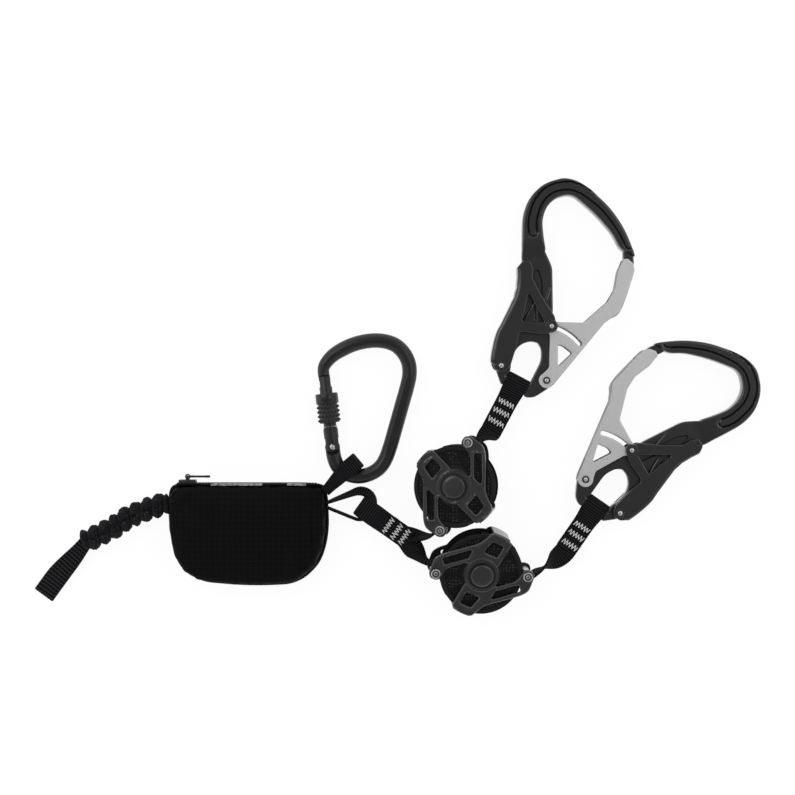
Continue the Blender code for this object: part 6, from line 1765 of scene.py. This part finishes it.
piece("zip_cast_slider", joined("slider", slider), lacquered_zinc, "zip_slider_body", "steel", "zip_slider")

PULL_EYE_RADIUS = 0.0016
PULL_WIRE_RADIUS = 0.00045
PULL_WIRE_DEPTH = 2.6
PULL_ROD_START = 0.0018
PULL_ROD_LENGTH = 0.0147
PULL_ROD_RADII = (0.0009, 0.00085, 0.0008, 0.0008, 0.0008, 0.0008, 0.00085, 0.00095, 0.0008)
eye = [Vector((SLIDER_X + PULL_EYE_RADIUS * math.cos(t), POST_Y + PULL_EYE_RADIUS * math.sin(t), ZIP_LEVEL))
       for t in turns_of(20)]
rod_line = [Vector((SLIDER_X + PULL_ROD_START + PULL_ROD_LENGTH * k / 8, POST_Y, ZIP_LEVEL)) for k in range(9)]
pull_rod = [piped("eye", eye, PULL_WIRE_RADIUS, sides=10, flat=PULL_WIRE_DEPTH),
            bar_mesh("rod", rod_line, PULL_ROD_RADII, sides=14)]
piece("zip_pull_rod", joined("pull", pull_rod), lacquered_zinc, "zip_puller_body", "steel", "zip_puller")


# The leash: elastic drawn through a ruched tube of soft webbing, so the tube stands in eight fat gathers,
# and a flat ribbed tail beyond them.

LEASH_LUMPS = 8
LEASH_RADIUS = 0.0083
LEASH_REACH = 0.088884
LEASH_PLACE = Vector((-0.062208, 0.02241))
LEASH_ROUTE_SHARES = (
    (0.050, 0.016), (0.0, 0.0), (-0.1300, -0.0425), (-0.2849, -0.1094), (-0.4459, -0.2126), (-0.6100, -0.2916),
    (-0.6600, -0.3150),
)
TAIL_ROUTE_SHARES = ((-0.6403, -0.3129), (-0.7315, -0.4253), (-0.8750, -0.5880), (-1.0000, -0.7552))
TAIL_WIDTH = 0.0165
TAIL_THICKNESS = STRAP_THICKNESS * 1.8
RUCHE_STEPS, RUCHE_SIDES = 288, 48
RUCHE_CORE = 0.0052
RUCHE_SWELL = 0.0031
RUCHE_SLANT = 0.22
RUCHE_FULLNESS = 0.62
CLEFT_DEPTH = 0.24
CLEFT_WIDTH = 0.22
RUCHE_YARN = 0.0011
RUCHE_FUZZ = 0.0022

# Ruched polyamide: soft tubular webbing, finely ribbed, darker in its folds. Its tone follows the ribs, as
# painted highlight on them and painted shade between them.
ruched_webbing, tree, shader = finish("ruched tubular polyamide", 0.80, Sheen_Weight=0.03, Sheen_Roughness=0.4,
                                      Specular_IOR_Level=0.12)
where = add(tree, "ShaderNodeTexCoord")
flow = add(tree, "ShaderNodeAttribute", attribute_name="along_tape")
parts = add(tree, "ShaderNodeSeparateXYZ", links={0: flow.outputs["Vector"]})
yarns = add(tree, "ShaderNodeMath", {1: 2 * math.pi / RUCHE_YARN}, {0: parts.outputs["X"]},
            operation="MULTIPLY")
yarns = add(tree, "ShaderNodeMath", links={0: yarns.outputs[0]}, operation="SINE")
cloud = add(tree, "ShaderNodeTexNoise", {"Scale": 1 / RUCHE_FUZZ, "Detail": 4},
            {"Vector": where.outputs["Object"]})
height = add(tree, "ShaderNodeMath", {1: 0.22}, {0: yarns.outputs[0], 2: cloud.outputs["Fac"]},
             operation="MULTIPLY_ADD")
ribbed(tree, shader, height, ((0.35, "#070708"), (0.85, "#323236")), 0.7, 0.0005)


def on_leash(share, height):
    """A place on the leash's route, from the corner where it leaves the pouch."""
    return Vector((LEASH_PLACE.x + share.x, LEASH_PLACE.y + share.y, height))


line = [on_leash(point, LEASH_RADIUS + SEAT_GAP)
        for point in smooth_line(sized(LEASH_ROUTE_SHARES, LEASH_REACH), 12)]
lengths = travelled(line)
rings, flow = [], []
for step in range(RUCHE_STEPS + 1):
    target = lengths[-1] * step / RUCHE_STEPS
    index = max(k for k in range(len(line)) if lengths[k] <= target + 1e-9)
    after = min(index + 1, len(line) - 1)
    stretch = lengths[after] - lengths[index]
    centre = line[index].lerp(line[after], (target - lengths[index]) / stretch if stretch > 1e-9 else 0)
    ahead = (line[min(index + 2, len(line) - 1)] - line[max(index - 1, 0)]).normalized()
    side = UP.cross(ahead).normalized()
    ends = float(eases(min(step, RUCHE_STEPS - step), -4, 10))
    ring = []
    for turn in turns_of(RUCHE_SIDES):
        lean = math.cos(turn)
        phase = LEASH_LUMPS * step / RUCHE_STEPS - RUCHE_SLANT * lean + 0.05 * math.sin(step * 0.11) + 0.5
        swell = abs(math.sin(math.pi * phase)) ** RUCHE_FULLNESS
        crease = 0.10 * math.sin(turn * 7 + 6 * math.sin(phase * math.pi))
        crease += 0.06 * math.sin(turn * 13 + phase * 21)
        cleft = CLEFT_DEPTH * math.exp(-(lean / CLEFT_WIDTH) ** 2) * (0.6 + 0.4 * swell)
        radius = (RUCHE_CORE + RUCHE_SWELL * swell * (1 + crease)) * (0.72 + 0.28 * ends) * (1 - cleft)
        ring.append(centre + side * (radius * 1.04 * lean) + UP * (radius * math.sin(turn)))
        flow.append((radius * turn, target, 0.0))
    rings.append(ring)
ruche_mesh = skinned("ruched_leash", rings)
mapped(ruche_mesh, flow)
piece("leash_ruched_tube", ruche_mesh, ruched_webbing, "lanyard", "webbing", "leash_sleeve")

# The tail's weft ribs are about 2.7 mm apart, as the photograph shows them.
# Here too the lighter tone is painted highlight on the ribs, and the darker one painted shade between them.
tail_webbing = woven("woven polyamide tape", "#030304", "#2a2a2d", 0.0027, 0.0014, 0.8)
tail = [on_leash(point, STRAP_THICKNESS * 1.6 + SEAT_GAP + (LEASH_RADIUS + SEAT_GAP) * (1 - k / 3) / 2)
        for k, point in enumerate(sized(TAIL_ROUTE_SHARES, LEASH_REACH))]
route = smooth_line(tail, 8)
stations = []
for index, point in enumerate(route):
    width = TAIL_WIDTH * (0.62 + 0.38 * float(eases(index / (len(route) - 1), 0.0, 0.75)))
    stations.append((point, UP.cross(heading(route, index)).normalized(), width))
piece("leash_flat_tail", band("tail", stations, TAIL_THICKNESS), tail_webbing, "lanyard", "webbing",
      "leash_tail")
